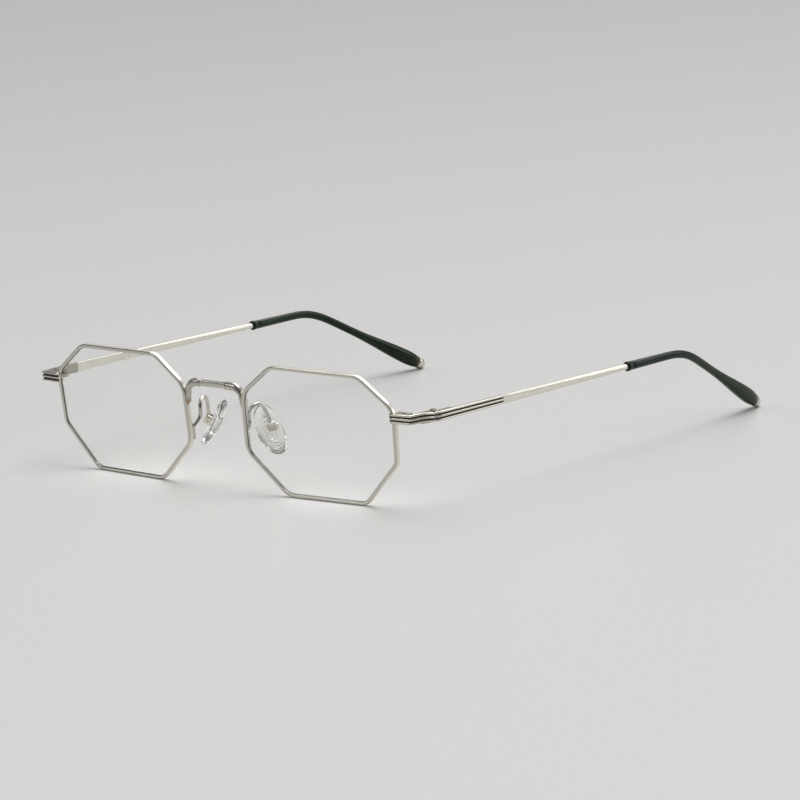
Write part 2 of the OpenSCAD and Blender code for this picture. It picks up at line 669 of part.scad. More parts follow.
mirror([1, 0, 0]) pad_box();  // pad_box_right
both_sides() pad_screw();  // pad_screws
pad_lug();  // pad_lug_left
mirror([1, 0, 0]) pad_lug();  // pad_lug_right
nose_pad();  // nose_pad_left
mirror([1, 0, 0]) nose_pad();  // nose_pad_right
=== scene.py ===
# Octagonal wire spectacles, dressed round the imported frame.
# Sizes are in millimetres here and turned into metres when a mesh is made.
# x runs to the wearer's left, y backwards along the temples, z upwards.
import bpy
import bmesh
import json
import math
import numpy as np
from mathutils import Matrix, Vector

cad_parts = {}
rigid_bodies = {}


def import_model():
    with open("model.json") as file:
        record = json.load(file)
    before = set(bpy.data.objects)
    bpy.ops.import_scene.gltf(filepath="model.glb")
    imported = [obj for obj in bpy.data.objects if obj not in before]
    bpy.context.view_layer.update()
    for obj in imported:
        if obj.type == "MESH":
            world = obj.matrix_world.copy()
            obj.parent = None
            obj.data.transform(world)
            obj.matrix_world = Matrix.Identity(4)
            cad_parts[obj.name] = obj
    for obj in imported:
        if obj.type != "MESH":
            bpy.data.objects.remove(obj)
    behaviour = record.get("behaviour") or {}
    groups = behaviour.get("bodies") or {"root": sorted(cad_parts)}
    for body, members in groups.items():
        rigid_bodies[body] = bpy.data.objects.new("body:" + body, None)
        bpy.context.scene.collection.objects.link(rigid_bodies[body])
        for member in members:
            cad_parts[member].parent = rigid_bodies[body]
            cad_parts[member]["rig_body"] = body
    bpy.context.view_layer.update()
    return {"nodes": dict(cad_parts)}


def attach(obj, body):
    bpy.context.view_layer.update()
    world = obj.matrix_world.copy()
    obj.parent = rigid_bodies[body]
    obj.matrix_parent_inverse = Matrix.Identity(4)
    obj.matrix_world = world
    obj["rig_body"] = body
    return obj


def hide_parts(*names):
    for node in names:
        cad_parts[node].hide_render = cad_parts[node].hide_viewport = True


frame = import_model()
scene = bpy.context.scene
scene.view_settings.view_transform = "Standard"
mm = 0.001
nodes = frame["nodes"]
sides = {"left": 1, "right": -1}

# How the front stands: each lens plane leans and wraps back, by degrees, and is then moved by y and lifted
stand = dict(y=-74.5868, lift=0.5486, lean=4.1, wrap=3.5, rimDepth=1.4)


def unit(v):
    v = np.asarray(v, float)
    return v / np.linalg.norm(v, axis=-1, keepdims=True)


# Smooth step from 0 to 1 between two values
def ease(x, low, high):
    t = np.clip((np.asarray(x, float) - low) / (high - low), 0, 1)
    return t * t * (3 - 2 * t)


# A point of a lens plane in the standing frame: turned by the lean about x, then by the wrap about z
def onFront(x, v, z):
    x, v, z = np.broadcast_arrays(np.asarray(x, float), v, z)
    lean, wrap = math.radians(stand["lean"]), math.radians(stand["wrap"])
    back = z - stand["rimDepth"] / 2
    y = -v * math.sin(lean) - back * math.cos(lean)
    up = v * math.cos(lean) - back * math.sin(lean)
    return np.stack([x * math.cos(wrap) - y * math.sin(wrap),
                     x * math.sin(wrap) + y * math.cos(wrap) + stand["y"], up + stand["lift"]], -1)


# A superellipse: half width times cos to the power 2/p, half height times sin to the same power
def superRing(count, halfW, halfH, power=2.0):
    a = 2 * np.pi * (np.arange(count) + 0.5) / count
    c, s = np.cos(a), np.sin(a)
    e = 2 / np.asarray(power, float)[..., None]
    return np.stack([np.asarray(halfW, float)[..., None] * np.sign(c) * np.abs(c) ** e,
                     np.asarray(halfH, float)[..., None] * np.sign(s) * np.abs(s) ** e], -1)


# A path's sideways and upright axes, both square to its tangent by central differences
def pathAxes(path, up=(0, 0, 1)):
    t = unit(np.gradient(path, axis=0))
    side = unit(np.cross(t, np.broadcast_to(up, t.shape)))
    return side, np.cross(side, t)


# Sections carried along a path: point = path + side * width + upright * height
def sweep(path, side, up, sections):
    return path[:, None] + side[:, None] * sections[..., 0:1] + up[:, None] * sections[..., 1:2]


# Catmull-Rom curve through points
def throughPoints(points, steps):
    p = np.asarray(points, float)
    p = np.vstack([2 * p[0] - p[1], p, 2 * p[-1] - p[-2]])
    t = (np.arange(steps) / steps)[None, :, None]
    a, b, c, d = (p[i:len(p) - 3 + i][:, None] for i in range(4))
    curve = 0.5 * (2 * b + (c - a) * t + (2 * a - 5 * b + 4 * c - d) * t ** 2
                   + (3 * b - a - 3 * c + d) * t ** 3)
    return np.vstack([curve.reshape(-1, 3), p[-2]])


# Quads between rings of equal count, as rings x points x corners. In a loop the last ring joins the first,
# and the corners run the other way
def ringQuads(m, n, loop=False):
    i, k = np.meshgrid(np.arange(m if loop else m - 1), np.arange(n), indexing="ij")
    after, following = (k + 1) % n, (i + 1) % m
    corners = [i * n + k, i * n + after, following * n + after, following * n + k]
    return np.stack(corners[:1] + corners[:0:-1] if loop else corners, -1)


# A fan of triangles from the ring that begins at a point's number to that ring's middle
def ringFan(start, n, middle, backwards=False):
    k = start + np.arange(n)
    after = start + (np.arange(n) + 1) % n
    return np.stack([after, k, np.full(n, middle)] if backwards else [k, after, np.full(n, middle)], -1)


# All faces in one list, turned outwards: the volume that they enclose is summed as seen from the first point
def facingOut(points, quads, *fans):
    tris = np.vstack([quads[:, [0, 1, 2]], quads[:, [0, 2, 3]], *fans])
    a, b, c = (points[tris[:, j]] for j in range(3))
    volume = np.einsum("ij,ij->i", a - points[0], np.cross(b - points[0], c - points[0])).sum()
    turn = -1 if volume < 0 else 1
    return [face[::turn] for faces in (quads, *fans) for face in faces.tolist()]


# Closed skin over rings of equal count, with a fan at each end and each mark's values for its points
def ringSkin(rings, **marks):
    m, n = rings.shape[:2]
    points = np.vstack([rings.reshape(-1, 3), rings[0].mean(0), rings[-1].mean(0)])
    faces = facingOut(points, ringQuads(m, n).reshape(-1, 4), ringFan(0, n, m * n, backwards=True),
                      ringFan((m - 1) * n, n, m * n + 1))
    spread = {key: np.append(np.broadcast_to(value, (m, n)).reshape(-1), [0, 0])
              for key, value in marks.items()}
    return points, faces, spread


def smooth(mesh):
    mesh.polygons.foreach_set("use_smooth", np.ones(len(mesh.polygons), bool))


def newObject(name, data):
    thing = bpy.data.objects.new(name, data)
    scene.collection.objects.link(thing)
    return thing


# One or more skins in one object, in metres, with its body, material and the nodes it stands for
def makePiece(name, skins, body, material, replaced=(), sharp=38):
    faces, count = [], 0
    for points, skinFaces, marks in skins:
        faces += [[v + count for v in face] for face in skinFaces]
        count += len(points)
    mesh = bpy.data.meshes.new(name)
    mesh.from_pydata((np.vstack([s[0] for s in skins]) * mm).tolist(), [], faces)
    mesh.update()
    smooth(mesh)
    mesh.set_sharp_from_angle(angle=math.radians(sharp))
    for key in ("recess", "satin"):
        values = np.concatenate([s[2].get(key, np.zeros(len(s[0]))) for s in skins])
        mesh.attributes.new(key, "FLOAT", "POINT").data.foreach_set("value", values.astype(np.float32))
    mesh.materials.append(material)
    piece = newObject(name, mesh)
    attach(piece, body)
    if replaced:
        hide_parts(*replaced)
    return piece


def mirrored(rings, sign):
    return rings * np.array([sign, 1, 1])


# Softened copies: the distance in metres at which points merge, the angles in degrees under which flats join
# and over which edges are sharp and rounded, and the steps of a rounded edge
softening = dict(merge=1e-6, flat=1, sharp=35, steps=3)


# A copy of a small fitting, merged, with its flats joined and its edges softened
def softenedCopy(node, width, material):
    mesh = nodes[node].data.copy()
    bm = bmesh.new()
    bm.from_mesh(mesh)
    bmesh.ops.remove_doubles(bm, verts=bm.verts, dist=softening["merge"])
    bmesh.ops.dissolve_limit(bm, angle_limit=math.radians(softening["flat"]), verts=bm.verts,
                             edges=bm.edges)
    bm.to_mesh(mesh)
    bm.free()
    mesh.materials.clear()
    mesh.materials.append(material)
    smooth(mesh)
    mesh.set_sharp_from_angle(angle=math.radians(softening["sharp"]))
    piece = newObject(node + "_soft", mesh)
    bevel = piece.modifiers.new("edges", "BEVEL")
    bevel.width, bevel.segments, bevel.limit_method = width * mm, softening["steps"], "ANGLE"
    bevel.angle_limit = math.radians(softening["sharp"])
    bevel.harden_normals = True
    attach(piece, nodes[node]["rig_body"])
    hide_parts(node)
    return piece


# Values for a node's inputs, whose names have spaces where the keywords have underscores
def setInputs(node, **inputs):
    for key, value in inputs.items():
        node.inputs[key.replace("_", " ")].default_value = value


def addNode(tree, kind, settings=(), **inputs):
    node = tree.nodes.new(kind)
    for key, value in dict(settings).items():
        setattr(node, key, value)
    setInputs(node, **inputs)
    return node


def newGroup(name, inputs, outputs):
    group = bpy.data.node_groups.new(name, "ShaderNodeTree")
    for label, value in inputs.items():
        socket = group.interface.new_socket(label, in_out="INPUT", socket_type="NodeSocketFloat")
        socket.default_value = value
    for label in outputs:
        group.interface.new_socket(label, in_out="OUTPUT", socket_type="NodeSocketFloat")
    return group, group.nodes.new("NodeGroupInput").outputs, group.nodes.new("NodeGroupOutput").inputs


# Handling marks: broad soft noise that sets a value between a low and a high one
def makeHandling():
    group, given, out = newGroup("handling", dict(Scale=90, Low=0.1, High=0.2), ["Value"])
    place = addNode(group, "ShaderNodeTexCoord")
    noise = addNode(group, "ShaderNodeTexNoise", Detail=4, Roughness=0.6)
    ranged = addNode(group, "ShaderNodeMapRange", From_Min=0.35, From_Max=0.65)
    link = group.links.new
    link(place.outputs["Object"], noise.inputs["Vector"])
    link(given["Scale"], noise.inputs["Scale"])
    link(noise.outputs["Fac"], ranged.inputs["Value"])
    link(given["Low"], ranged.inputs["To Min"])
    link(given["High"], ranged.inputs["To Max"])
    link(ranged.outputs["Result"], out["Value"])
    return group


# Brushing: noise drawn out along the temples, as a height and as a tone
def makeBrushing():
    group, given, out = newGroup("brushing", dict(Across=6000, Along=250), ["Height", "Tone"])
    place = addNode(group, "ShaderNodeTexCoord")
    scale = addNode(group, "ShaderNodeCombineXYZ")
    drawn = addNode(group, "ShaderNodeVectorMath", dict(operation="MULTIPLY"))
    noise = addNode(group, "ShaderNodeTexNoise", Scale=1, Detail=3, Roughness=0.7)
    tone = addNode(group, "ShaderNodeMapRange", From_Min=0.3, From_Max=0.7)
    link = group.links.new
    link(given["Across"], scale.inputs["X"])
    link(given["Along"], scale.inputs["Y"])
    link(given["Across"], scale.inputs["Z"])
    link(place.outputs["Object"], drawn.inputs[0])
    link(scale.outputs["Vector"], drawn.inputs[1])
    link(drawn.outputs["Vector"], noise.inputs["Vector"])
    link(noise.outputs["Fac"], out["Height"])
    link(noise.outputs["Fac"], tone.inputs["Value"])
    link(tone.outputs["Result"], out["Tone"])
    return group


# A mask that rises between two places along one axis of the object
def makeBand():
    group, given, out = newGroup("band", dict(X=0, Y=0, Z=1, Low=0, High=1), ["Mask"])
    place = addNode(group, "ShaderNodeTexCoord")
    axis = addNode(group, "ShaderNodeCombineXYZ")
    along = addNode(group, "ShaderNodeVectorMath", dict(operation="DOT_PRODUCT"))
    ranged = addNode(group, "ShaderNodeMapRange", dict(interpolation_type="SMOOTHSTEP"))
    link = group.links.new
    for key in "XYZ":
        link(given[key], axis.inputs[key])
    link(place.outputs["Object"], along.inputs[0])
    link(axis.outputs["Vector"], along.inputs[1])
    link(along.outputs["Value"], ranged.inputs["Value"])
    link(given["Low"], ranged.inputs["From Min"])
    link(given["High"], ranged.inputs["From Max"])
    link(ranged.outputs["Result"], out["Mask"])
    return group


handling, brushing, band = makeHandling(), makeBrushing(), makeBand()


def useGroup(tree, group, **inputs):
    return addNode(tree, "ShaderNodeGroup", dict(node_tree=group), **inputs)


def newMaterial(name):
    material = bpy.data.materials.new(name)
    material.use_nodes = True
    tree = material.node_tree
    return material, tree, tree.nodes["Principled BSDF"], tree.links.new


# Bump on a surface from a height, with its strength and its depth in metres
def addBump(tree, surface, height, strength, depth):
    bump = addNode(tree, "ShaderNodeBump", Strength=strength, Distance=depth)
    tree.links.new(height, bump.inputs["Height"])
    tree.links.new(bump.outputs["Normal"], surface.inputs["Normal"])


# A mix by a mask of two colours or two values, each a socket or fixed. The mix node has separate sockets for
# each kind: the first of its two inputs and its output are given by number
def mixed(tree, mask, low, high, kind, first, output):
    mix = addNode(tree, "ShaderNodeMix", dict(data_type=kind))
    tree.links.new(mask, mix.inputs[0])
    for socket, value in ((mix.inputs[first], low), (mix.inputs[first + 1], high)):
        if isinstance(value, bpy.types.NodeSocket):
            tree.links.new(value, socket)
        else:
            socket.default_value = value
    return mix.outputs[output]


def mixColours(tree, mask, *colours):
    low, high = (v if isinstance(v, bpy.types.NodeSocket) else (*v, 1) for v in colours)
    return mixed(tree, mask, low, high, "RGBA", first=6, output=2)


def mixValues(tree, mask, low, high):
    return mixed(tree, mask, low, high, "FLOAT", first=2, output=0)


# Marks on the metals: noise scales per metre, a recess's roughness, the bump's depth in metres, the dark
# colour in the recesses, which is painted shade and grime, and the brown beside a brazed joint
wear = dict(polish=140, satin=300, stain=420, across=5200, along=300, recessRough=0.6, depth=0.00002,
            shadeAndGrime=(0.06, 0.05, 0.04), heat=(0.30, 0.19, 0.10))


# Warm silver metal: polished and a little darker where it isn't marked satin, dulled in its recesses and
# darkened there with painted shade and grime. A brazed one is stained lower down, and the stain fades out
# between two heights
def makeMetal(name, tone, worn, polish, satin, grain=0.12, brazed=None, dark=0.84):
    material, tree, surface, link = newMaterial(name)
    marks = useGroup(tree, handling, Scale=wear["polish"], Low=polish[0], High=polish[1])
    dull = useGroup(tree, handling, Scale=wear["satin"], Low=satin[0], High=satin[1])
    lines = useGroup(tree, brushing, Across=wear["across"], Along=wear["along"])
    satinMark = addNode(tree, "ShaderNodeAttribute", dict(attribute_name="satin")).outputs["Fac"]
    recess = addNode(tree, "ShaderNodeAttribute", dict(attribute_name="recess")).outputs["Fac"]
    bright = mixColours(tree, lines.outputs["Tone"], tone, worn)
    deep = mixColours(tree, lines.outputs["Tone"], [dark * v for v in tone], [dark * v for v in worn])
    colour = mixColours(tree, satinMark, deep, bright)
    if brazed:
        above = useGroup(tree, band, Low=brazed[0] * mm, High=brazed[1] * mm)
        stain = useGroup(tree, handling, Scale=wear["stain"], Low=0.0, High=1.0)
        below = addNode(tree, "ShaderNodeMath", dict(operation="SUBTRACT"))
        below.inputs[0].default_value = 1
        heat = addNode(tree, "ShaderNodeMath", dict(operation="MULTIPLY"))
        link(above.outputs["Mask"], below.inputs[1])
        link(below.outputs[0], heat.inputs[0])
        link(stain.outputs["Value"], heat.inputs[1])
        colour = mixColours(tree, heat.outputs[0], colour, wear["heat"])
    # Recesses take a dark colour: painted shade in the rims' and ribs' grooves, heat tarnish on the bridge
    link(mixColours(tree, recess, colour, wear["shadeAndGrime"]), surface.inputs["Base Color"])
    rough = mixValues(tree, satinMark, marks.outputs["Value"], dull.outputs["Value"])
    link(mixValues(tree, recess, rough, wear["recessRough"]), surface.inputs["Roughness"])
    setInputs(surface, Metallic=1)
    addBump(tree, surface, lines.outputs["Height"], grain, wear["depth"])
    return material


warmSilver, wornSilver = (0.715, 0.685, 0.62), (0.64, 0.61, 0.545)
polishedMetal = makeMetal("polishedMetal", warmSilver, wornSilver, polish=(0.10, 0.20), satin=(0.30, 0.42))
brazedMetal = makeMetal("brazedMetal", warmSilver, wornSilver, polish=(0.20, 0.30), satin=(0.28, 0.38),
                        brazed=(22.6, 24.6))
satinMetal = makeMetal("satinMetal", (0.70, 0.66, 0.59), (0.60, 0.565, 0.50), polish=(0.26, 0.36),
                       satin=(0.30, 0.42), grain=0.2)
# Hinge leaves: a dark tone that paints in the shade they sit in
hingeMetalPaintedShade = makeMetal("hingeMetalPaintedShade", (0.46, 0.43, 0.37), (0.38, 0.355, 0.305), polish=(0.28, 0.38),
                       satin=(0.30, 0.42), grain=0.2)
# Pad boxes: a paler tone, not darkened where polished, paints light onto boxes that sit in the pad's shade
boxMetalPaintedLight = makeMetal("boxMetalPaintedLight", (0.90, 0.86, 0.77), (0.84, 0.79, 0.70), polish=(0.38, 0.48),
                     satin=(0.38, 0.48), grain=0.2, dark=1.0)
templeMetal = makeMetal("templeMetal", warmSilver, wornSilver, polish=(0.12, 0.20), satin=(0.27, 0.36),
                        grain=0.14)

# Marks on the clear pieces: noise scales per metre, and the depth of a moulding's waves in metres
clear = dict(dust=60, haze=25, ripple=500, depth=0.00005)


# Clear moulding or lens: glass that lets the lamps' rays through to what it covers
def makeClear(name, tint, ior, rough, gloss, waves=0.0):
    material, tree, surface, link = newMaterial(name)
    dust = useGroup(tree, handling, Scale=clear["dust"], Low=rough[0], High=rough[1])
    haze = useGroup(tree, handling, Scale=clear["haze"], Low=0.0, High=1.0)
    link(mixColours(tree, haze.outputs["Value"], tint[0], tint[1]), surface.inputs["Base Color"])
    link(dust.outputs["Value"], surface.inputs["Roughness"])
    setInputs(surface, Transmission_Weight=1, IOR=ior, Specular_IOR_Level=gloss)
    if waves:
        ripple = useGroup(tree, handling, Scale=clear["ripple"], Low=0.0, High=1.0)
        addBump(tree, surface, ripple.outputs["Value"], waves, clear["depth"])
    through = addNode(tree, "ShaderNodeBsdfTransparent")
    ray = addNode(tree, "ShaderNodeLightPath")
    mix = addNode(tree, "ShaderNodeMixShader")
    link(ray.outputs["Is Shadow Ray"], mix.inputs[0])
    link(surface.outputs[0], mix.inputs[1])
    link(through.outputs[0], mix.inputs[2])
    link(mix.outputs[0], tree.nodes["Material Output"].inputs["Surface"])
    return material


clearLens = makeClear("clearLens", ((0.985, 0.99, 0.985), (0.965, 0.98, 0.972)), ior=1.5, rough=(0.0, 0.02),
                      gloss=0.3)
clearPad = makeClear("clearPad", ((0.975, 0.972, 0.96), (0.94, 0.935, 0.915)), ior=1.49, rough=(0.02, 0.07),
                     gloss=0.55, waves=0.2)

# Dark green acetate: mottled, letting a little light through, and a painted olive glow of light through the
# acetate in a band just before the cap
acetate = dict(cloud=160, marks=220, rough=(0.07, 0.14), through=0.06, ior=1.5, gloss=0.17, waves=0.08,
               depth=0.0001, tones=((0.003, 0.012, 0.005), (0.010, 0.027, 0.012)),
               paintedGlow=(0.075, 0.082, 0.025), paintedGlowY=(71.6, 73.0))


def makeAcetate():
    material, tree, surface, link = newMaterial("greenAcetate")
    cloud = useGroup(tree, handling, Scale=acetate["cloud"], Low=0.0, High=1.0)
    marks = useGroup(tree, handling, Scale=acetate["marks"], Low=acetate["rough"][0],
                     High=acetate["rough"][1])
    paintedGlow = useGroup(tree, band, Y=1, Z=0, Low=acetate["paintedGlowY"][0] * mm, High=acetate["paintedGlowY"][1] * mm)
    body = mixColours(tree, cloud.outputs["Value"], *acetate["tones"])
    # The band before the cap is painted olive: light glowing through the acetate
    link(mixColours(tree, paintedGlow.outputs["Mask"], body, acetate["paintedGlow"]), surface.inputs["Base Color"])
    link(marks.outputs["Value"], surface.inputs["Roughness"])
    setInputs(surface, Transmission_Weight=acetate["through"], IOR=acetate["ior"],
              Specular_IOR_Level=acetate["gloss"])
    addBump(tree, surface, cloud.outputs["Value"], acetate["waves"], acetate["depth"])
    return material


greenAcetate = makeAcetate()
print("materials made")

# Lens outline as stations on the lens's edge: corner arcs joined by straight runs. The rim is slit on its
# outer side, which lies beyond sideX and between the two heights of sideV
outline = dict(corners=[(22.75, 0), (48.75, 0), (59.95, 11.6), (60.65, 25.7), (49.95, 33.8), (20.95, 34.2),
                        (10.75, 26.6), (10.35, 11.1)], radii=[5.5, 4.2, 4.0, 5.5, 6.0, 5.5, 5.5, 5.0],
               arcSteps=12, runSteps=8, slit=0.3, slitV=23.9126, sideX=56, sideV=(8, 28), spare=0.1)


# Each corner's circle centre lies on its bisector; a station is that centre plus the radius along its normal
def edgeStations():
    p, radius = np.array(outline["corners"], float), np.array(outline["radii"])
    before, after = unit(np.roll(p, 1, 0) - p), unit(np.roll(p, -1, 0) - p)
    half = np.arccos(np.einsum("ij,ij->i", before, after)) / 2
    centre = p + unit(before + after) * (radius / np.sin(half))[:, None]
    step = np.roll(p, -1, 0) - p
    leave = np.degrees(np.arctan2(step[:, 1], step[:, 0])) - 90
    turn = (leave - np.roll(leave, 1)) % 360
    t = np.linspace(0, 1, outline["arcSteps"] + 1)
    a = np.radians((leave - turn)[:, None] + turn[:, None] * t)
    normal = np.stack([np.cos(a), np.sin(a)], -1)
    arc = centre[:, None] + radius[:, None, None] * normal
    s = (np.arange(1, outline["runSteps"]) / outline["runSteps"])[None, :, None]
    run = arc[:, -1:] * (1 - s) + np.roll(arc, -1, 0)[:, :1] * s
    runNormal = np.repeat(normal[:, -1:], outline["runSteps"] - 1, 1)
    return (np.concatenate([arc, run], 1).reshape(-1, 2),
            np.concatenate([normal, runNormal], 1).reshape(-1, 2))


# The same loop cut open at the closing block: from just above the slit round to just below it. Stations
# nearer to the slit than the spare distance are left out
def openStations():
    at, out = edgeStations()
    x, v = at.T
    outer = (x > outline["sideX"]) & (v > outline["sideV"][0]) & (v < outline["sideV"][1])
    ends = outline["slitV"] + np.array([0.5, -0.5]) * outline["slit"]
    above, below = ends[0] + outline["spare"], ends[1] - outline["spare"]
    columns = np.hstack([at, out])
    cut = np.stack([np.interp(ends, v[outer], columns[outer, k]) for k in range(4)], -1)
    rolled = np.roll(columns, -int(np.argmax(outer & (v > above))), 0)
    keep = (rolled[:, 0] < outline["sideX"]) | (rolled[:, 1] > above) | (rolled[:, 1] < below)
    rows = np.vstack([cut[0], rolled[keep], cut[1]])
    return rows[:, :2], unit(rows[:, 2:])


# Rim wire: a channel with rounded shoulders and lips and a V down to the lens groove. A row of its section
# is (out from the lens edge, forward, recess, satin); the groove's rows lack the last. The recess paints
# shade into the groove. The outer side is satin, which fades over an angle of the shoulder, in radians
rim = dict(out=0.555, face=0.70, shoulder=0.26, satinTurn=(0.3, 1.2), frontOut=0.02, full=0.02, lipR=0.13,
           lipIn=-0.40, groove=[(-0.40, 0.42, 0.1), (-0.34, 0.34, 0.7), (-0.15, 0.30, 1), (0.03, 0.17, 1)],
           grooveOut=0.055, shoulderSteps=7, lipSteps=5)


def rimSection():
    r = rim
    a = np.radians(np.linspace(0, 90, r["shoulderSteps"]))
    shoulder = np.stack([r["out"] - r["shoulder"] * (1 - np.cos(a)),
                         r["face"] - r["shoulder"] * (1 - np.sin(a)),
                         0 * a, 1 - ease(a, *r["satinTurn"])], -1)
    b = np.radians(np.linspace(90, 180, r["lipSteps"]))
    lip = np.stack([r["lipIn"] + r["lipR"] * (1 + np.cos(b)),
                    r["face"] - r["lipR"] * (1 - np.sin(b)), 0 * b, 0 * b], -1)
    front = np.array([[r["frontOut"], r["face"] + r["full"], 0, 0]])
    groove = np.array([(*row, 0) for row in r["groove"]])
    half = np.vstack([shoulder, front, lip, groove])
    lower = half[::-1] * [1, -1, 1, 1]
    return np.vstack([half, [[r["grooveOut"], 0, 1, 0]], lower, [[r["out"] + r["full"], 0, 0, 1]]])


profile = rimSection()
at, out = openStations()
rimFlat = at[:, None] + out[:, None] * profile[None, :, 0:1]
rimRings = onFront(rimFlat[..., 0], rimFlat[..., 1], profile[None, :, 1])
for side, sign in sides.items():
    skin = ringSkin(mirrored(rimRings, sign), recess=profile[:, 2], satin=profile[:, 3])
    makePiece("rim_wire_" + side, [skin], "front", polishedMetal, ["rim_" + side])
print("rims made")

# Lens: rings shrunk towards the middle and domed forwards by the square of their share. A row is (share, out
# from the lens's edge, forward); the bevel's rows hold the last two
lens = dict(bulge=0.9, halfThick=0.5, hub=0.04, rings=14, edgeOut=-0.46,
            bevel=[(-0.30, 0.20), (-0.05, 0.02)])
at, out = edgeStations()
middle = at.mean(0)
share = np.linspace(lens["hub"], 1, lens["rings"])
dome = lens["bulge"] * (1 - share * share)
rows = [(s, lens["edgeOut"], d + lens["halfThick"]) for s, d in zip(share, dome)]
rows += [(1, away, forward) for away, forward in lens["bevel"]]
rows += [(1, away, -forward) for away, forward in lens["bevel"][::-1]]
rows += [(s, lens["edgeOut"], d - lens["halfThick"]) for s, d in zip(share[::-1], dome[::-1])]
rows = np.array(rows)
flat = middle + (at + out * rows[:, 1][:, None, None] - middle) * rows[:, 0][:, None, None]
lensRings = onFront(flat[..., 0], flat[..., 1], rows[:, 2][:, None])
for side, sign in sides.items():
    makePiece("lens_glass_" + side, [ringSkin(mirrored(lensRings, sign))], "front", clearLens,
              ["lens_" + side], sharp=25)
print("lenses made")

# Bridge: a bar flattened in its middle, stepped up to round ends that bend down into flat pointed legs. The
# left end's step is short and the right end's long. Heat has dulled the bar beyond heatX and above heatZ
bridge = dict(z=28.3, back=-0.1, midR=0.875, midDepth=0.66, midPower=3.4, stepFrom=4.3, leftStep=4.38,
              rightStep=6.0, endR=1.1, bendR=2.4, thinFrom=0.7, legX=9.174, footZ=21.9, legTop=0.62,
              pointR=0.2, pointFall=1.6, legDepth=0.95, pointDepth=0.35, depthFall=1.3, legPower=2.4,
              heat=0.18, heatX=(4.2, 4.6), heatZ=(22.5, 25.5), around=40, barSteps=(12, 7, 6),
              bendSteps=22, legSteps=18)


# One half from the middle outwards: each station has its place in the bar's plane, its outward normal,
# the half height, the half depth and the squareness of its section. The legs keep their outer side
def bridgeHalf(stepTo):
    b = bridge
    stepFrom = b["stepFrom"]
    runX, kneeZ = b["legX"] - b["bendR"], b["z"] - b["bendR"]
    knots = (0, stepFrom, stepTo, runX)
    x = np.concatenate([np.linspace(low, high, count)[1:]
                        for low, high, count in zip(knots, knots[1:], b["barSteps"])])
    a = np.linspace(0, np.pi / 2, b["bendSteps"])[1:]
    t = np.linspace(0, 1, b["legSteps"])[1:]
    down = (kneeZ - b["footZ"]) * t
    swell = ease(x, stepFrom, stepTo)
    thin = ease(a, b["thinFrom"], np.pi / 2)
    kneeR = b["endR"] + (b["legTop"] - b["endR"]) * thin
    legR = b["legTop"] + (b["pointR"] - b["legTop"]) * t ** b["pointFall"]
    legDepth = b["legDepth"] + (b["pointDepth"] - b["legDepth"]) * t ** b["depthFall"]
    bend = b["bendR"] + b["endR"] - kneeR
    place = np.concatenate([np.stack([x, np.full_like(x, b["z"])], -1),
                            np.stack([runX + bend * np.sin(a), kneeZ + bend * np.cos(a)], -1),
                            np.stack([b["legX"] + b["endR"] - legR, kneeZ - down], -1)])
    normal = np.concatenate([np.tile([0.0, 1.0], (len(x), 1)), np.stack([np.sin(a), np.cos(a)], -1),
                             np.tile([1.0, 0.0], (len(down), 1))])
    halfH = np.concatenate([b["midR"] + (b["endR"] - b["midR"]) * swell, kneeR, legR])
    halfD = np.concatenate([b["midDepth"] + (b["endR"] - b["midDepth"]) * swell,
                            b["endR"] + (b["legDepth"] - b["endR"]) * thin, legDepth])
    power = np.concatenate([b["midPower"] + (2 - b["midPower"]) * swell, 2 + (b["legPower"] - 2) * thin,
                            np.full(len(down), b["legPower"])])
    return place, normal, halfH, halfD, power


# Both halves joined at a station in the middle, the right one mirrored and run backwards
leftHalf, rightHalf = bridgeHalf(bridge["leftStep"]), bridgeHalf(bridge["rightStep"])
flip = np.array([-1, 1])
start = (np.array([[0, bridge["z"]]]), np.array([[0.0, 1.0]]), *(leftHalf[i][:1] for i in (2, 3, 4)))
place, normal, halfH, halfD, power = (
    np.concatenate([(rightHalf[i] * flip if i < 2 else rightHalf[i])[::-1], start[i], leftHalf[i]])
    for i in range(5))
path = np.stack([place[:, 0], np.full(len(place), bridge["back"] + stand["y"]), place[:, 1]], -1)
upright = np.stack([normal[:, 0], np.zeros(len(normal)), normal[:, 1]], -1)
depth = np.tile([0.0, -1.0, 0.0], (len(path), 1))
bridgeRings = sweep(path, depth, upright, superRing(bridge["around"], halfD, halfH, power))
heat = bridge["heat"] * ease(np.abs(place[:, 0]), *bridge["heatX"]) * ease(place[:, 1], *bridge["heatZ"])
makePiece("bridge_bar", [ringSkin(bridgeRings, recess=heat[:, None])], "front",
          brazedMetal, ["bridge"], sharp=50)
print("bridge made")

# Ribbed bar: plan points on its outer face, in the plane of the temples, and the directions in degrees of
# its three runs. Each end is chamfered, the plate's inner end in rows of (how far along, share of the size)
bar = dict(height=2.6, thick=1.1, plateThick=0.7, power=9, groove=0.30, ribAt=0.7795, ribHalf=0.232,
           ribDrop=0.62, ribPower=2.6, dull=(0.35, 0.9), plateX=60.0, plateV=23.9126, plateZ=24.4,
           plateEnd=[(0.0, 0.86), (0.04, 0.95), (0.12, 1.0), (1.5, 1.0)], corner=(66.7, 1.62292),
           bend=(67.5161, 6.25152), seam=(68.6231, 9.46628), kink=(69.0585, 11.2128), templeZ=24.1,
           flare=(10.0, 19.0, 14.0), gap=0.10, chamfer=0.20, endShare=0.80, backSteps=17)
# Stations of its section as shares of the half height: over three ribs on the front, of which the outer two
# run out at the bar's edges, then evenly in angle round the back
ribX = bar["ribHalf"] * np.array([-1.12, -1.0, -0.94, -0.8, -0.55, -0.2, 0.2, 0.55, 0.8, 0.94, 1.0, 1.12])
frontS = np.concatenate([[-1.0], (ribX - bar["ribAt"])[3:], ribX, (ribX + bar["ribAt"])[:9], [1.0]])
backS = np.sin(np.linspace(np.pi / 2, -np.pi / 2, bar["backSteps"]))[1:-1]
sectionS = np.concatenate([frontS, backS])
isFront = np.arange(len(sectionS)) < len(frontS)


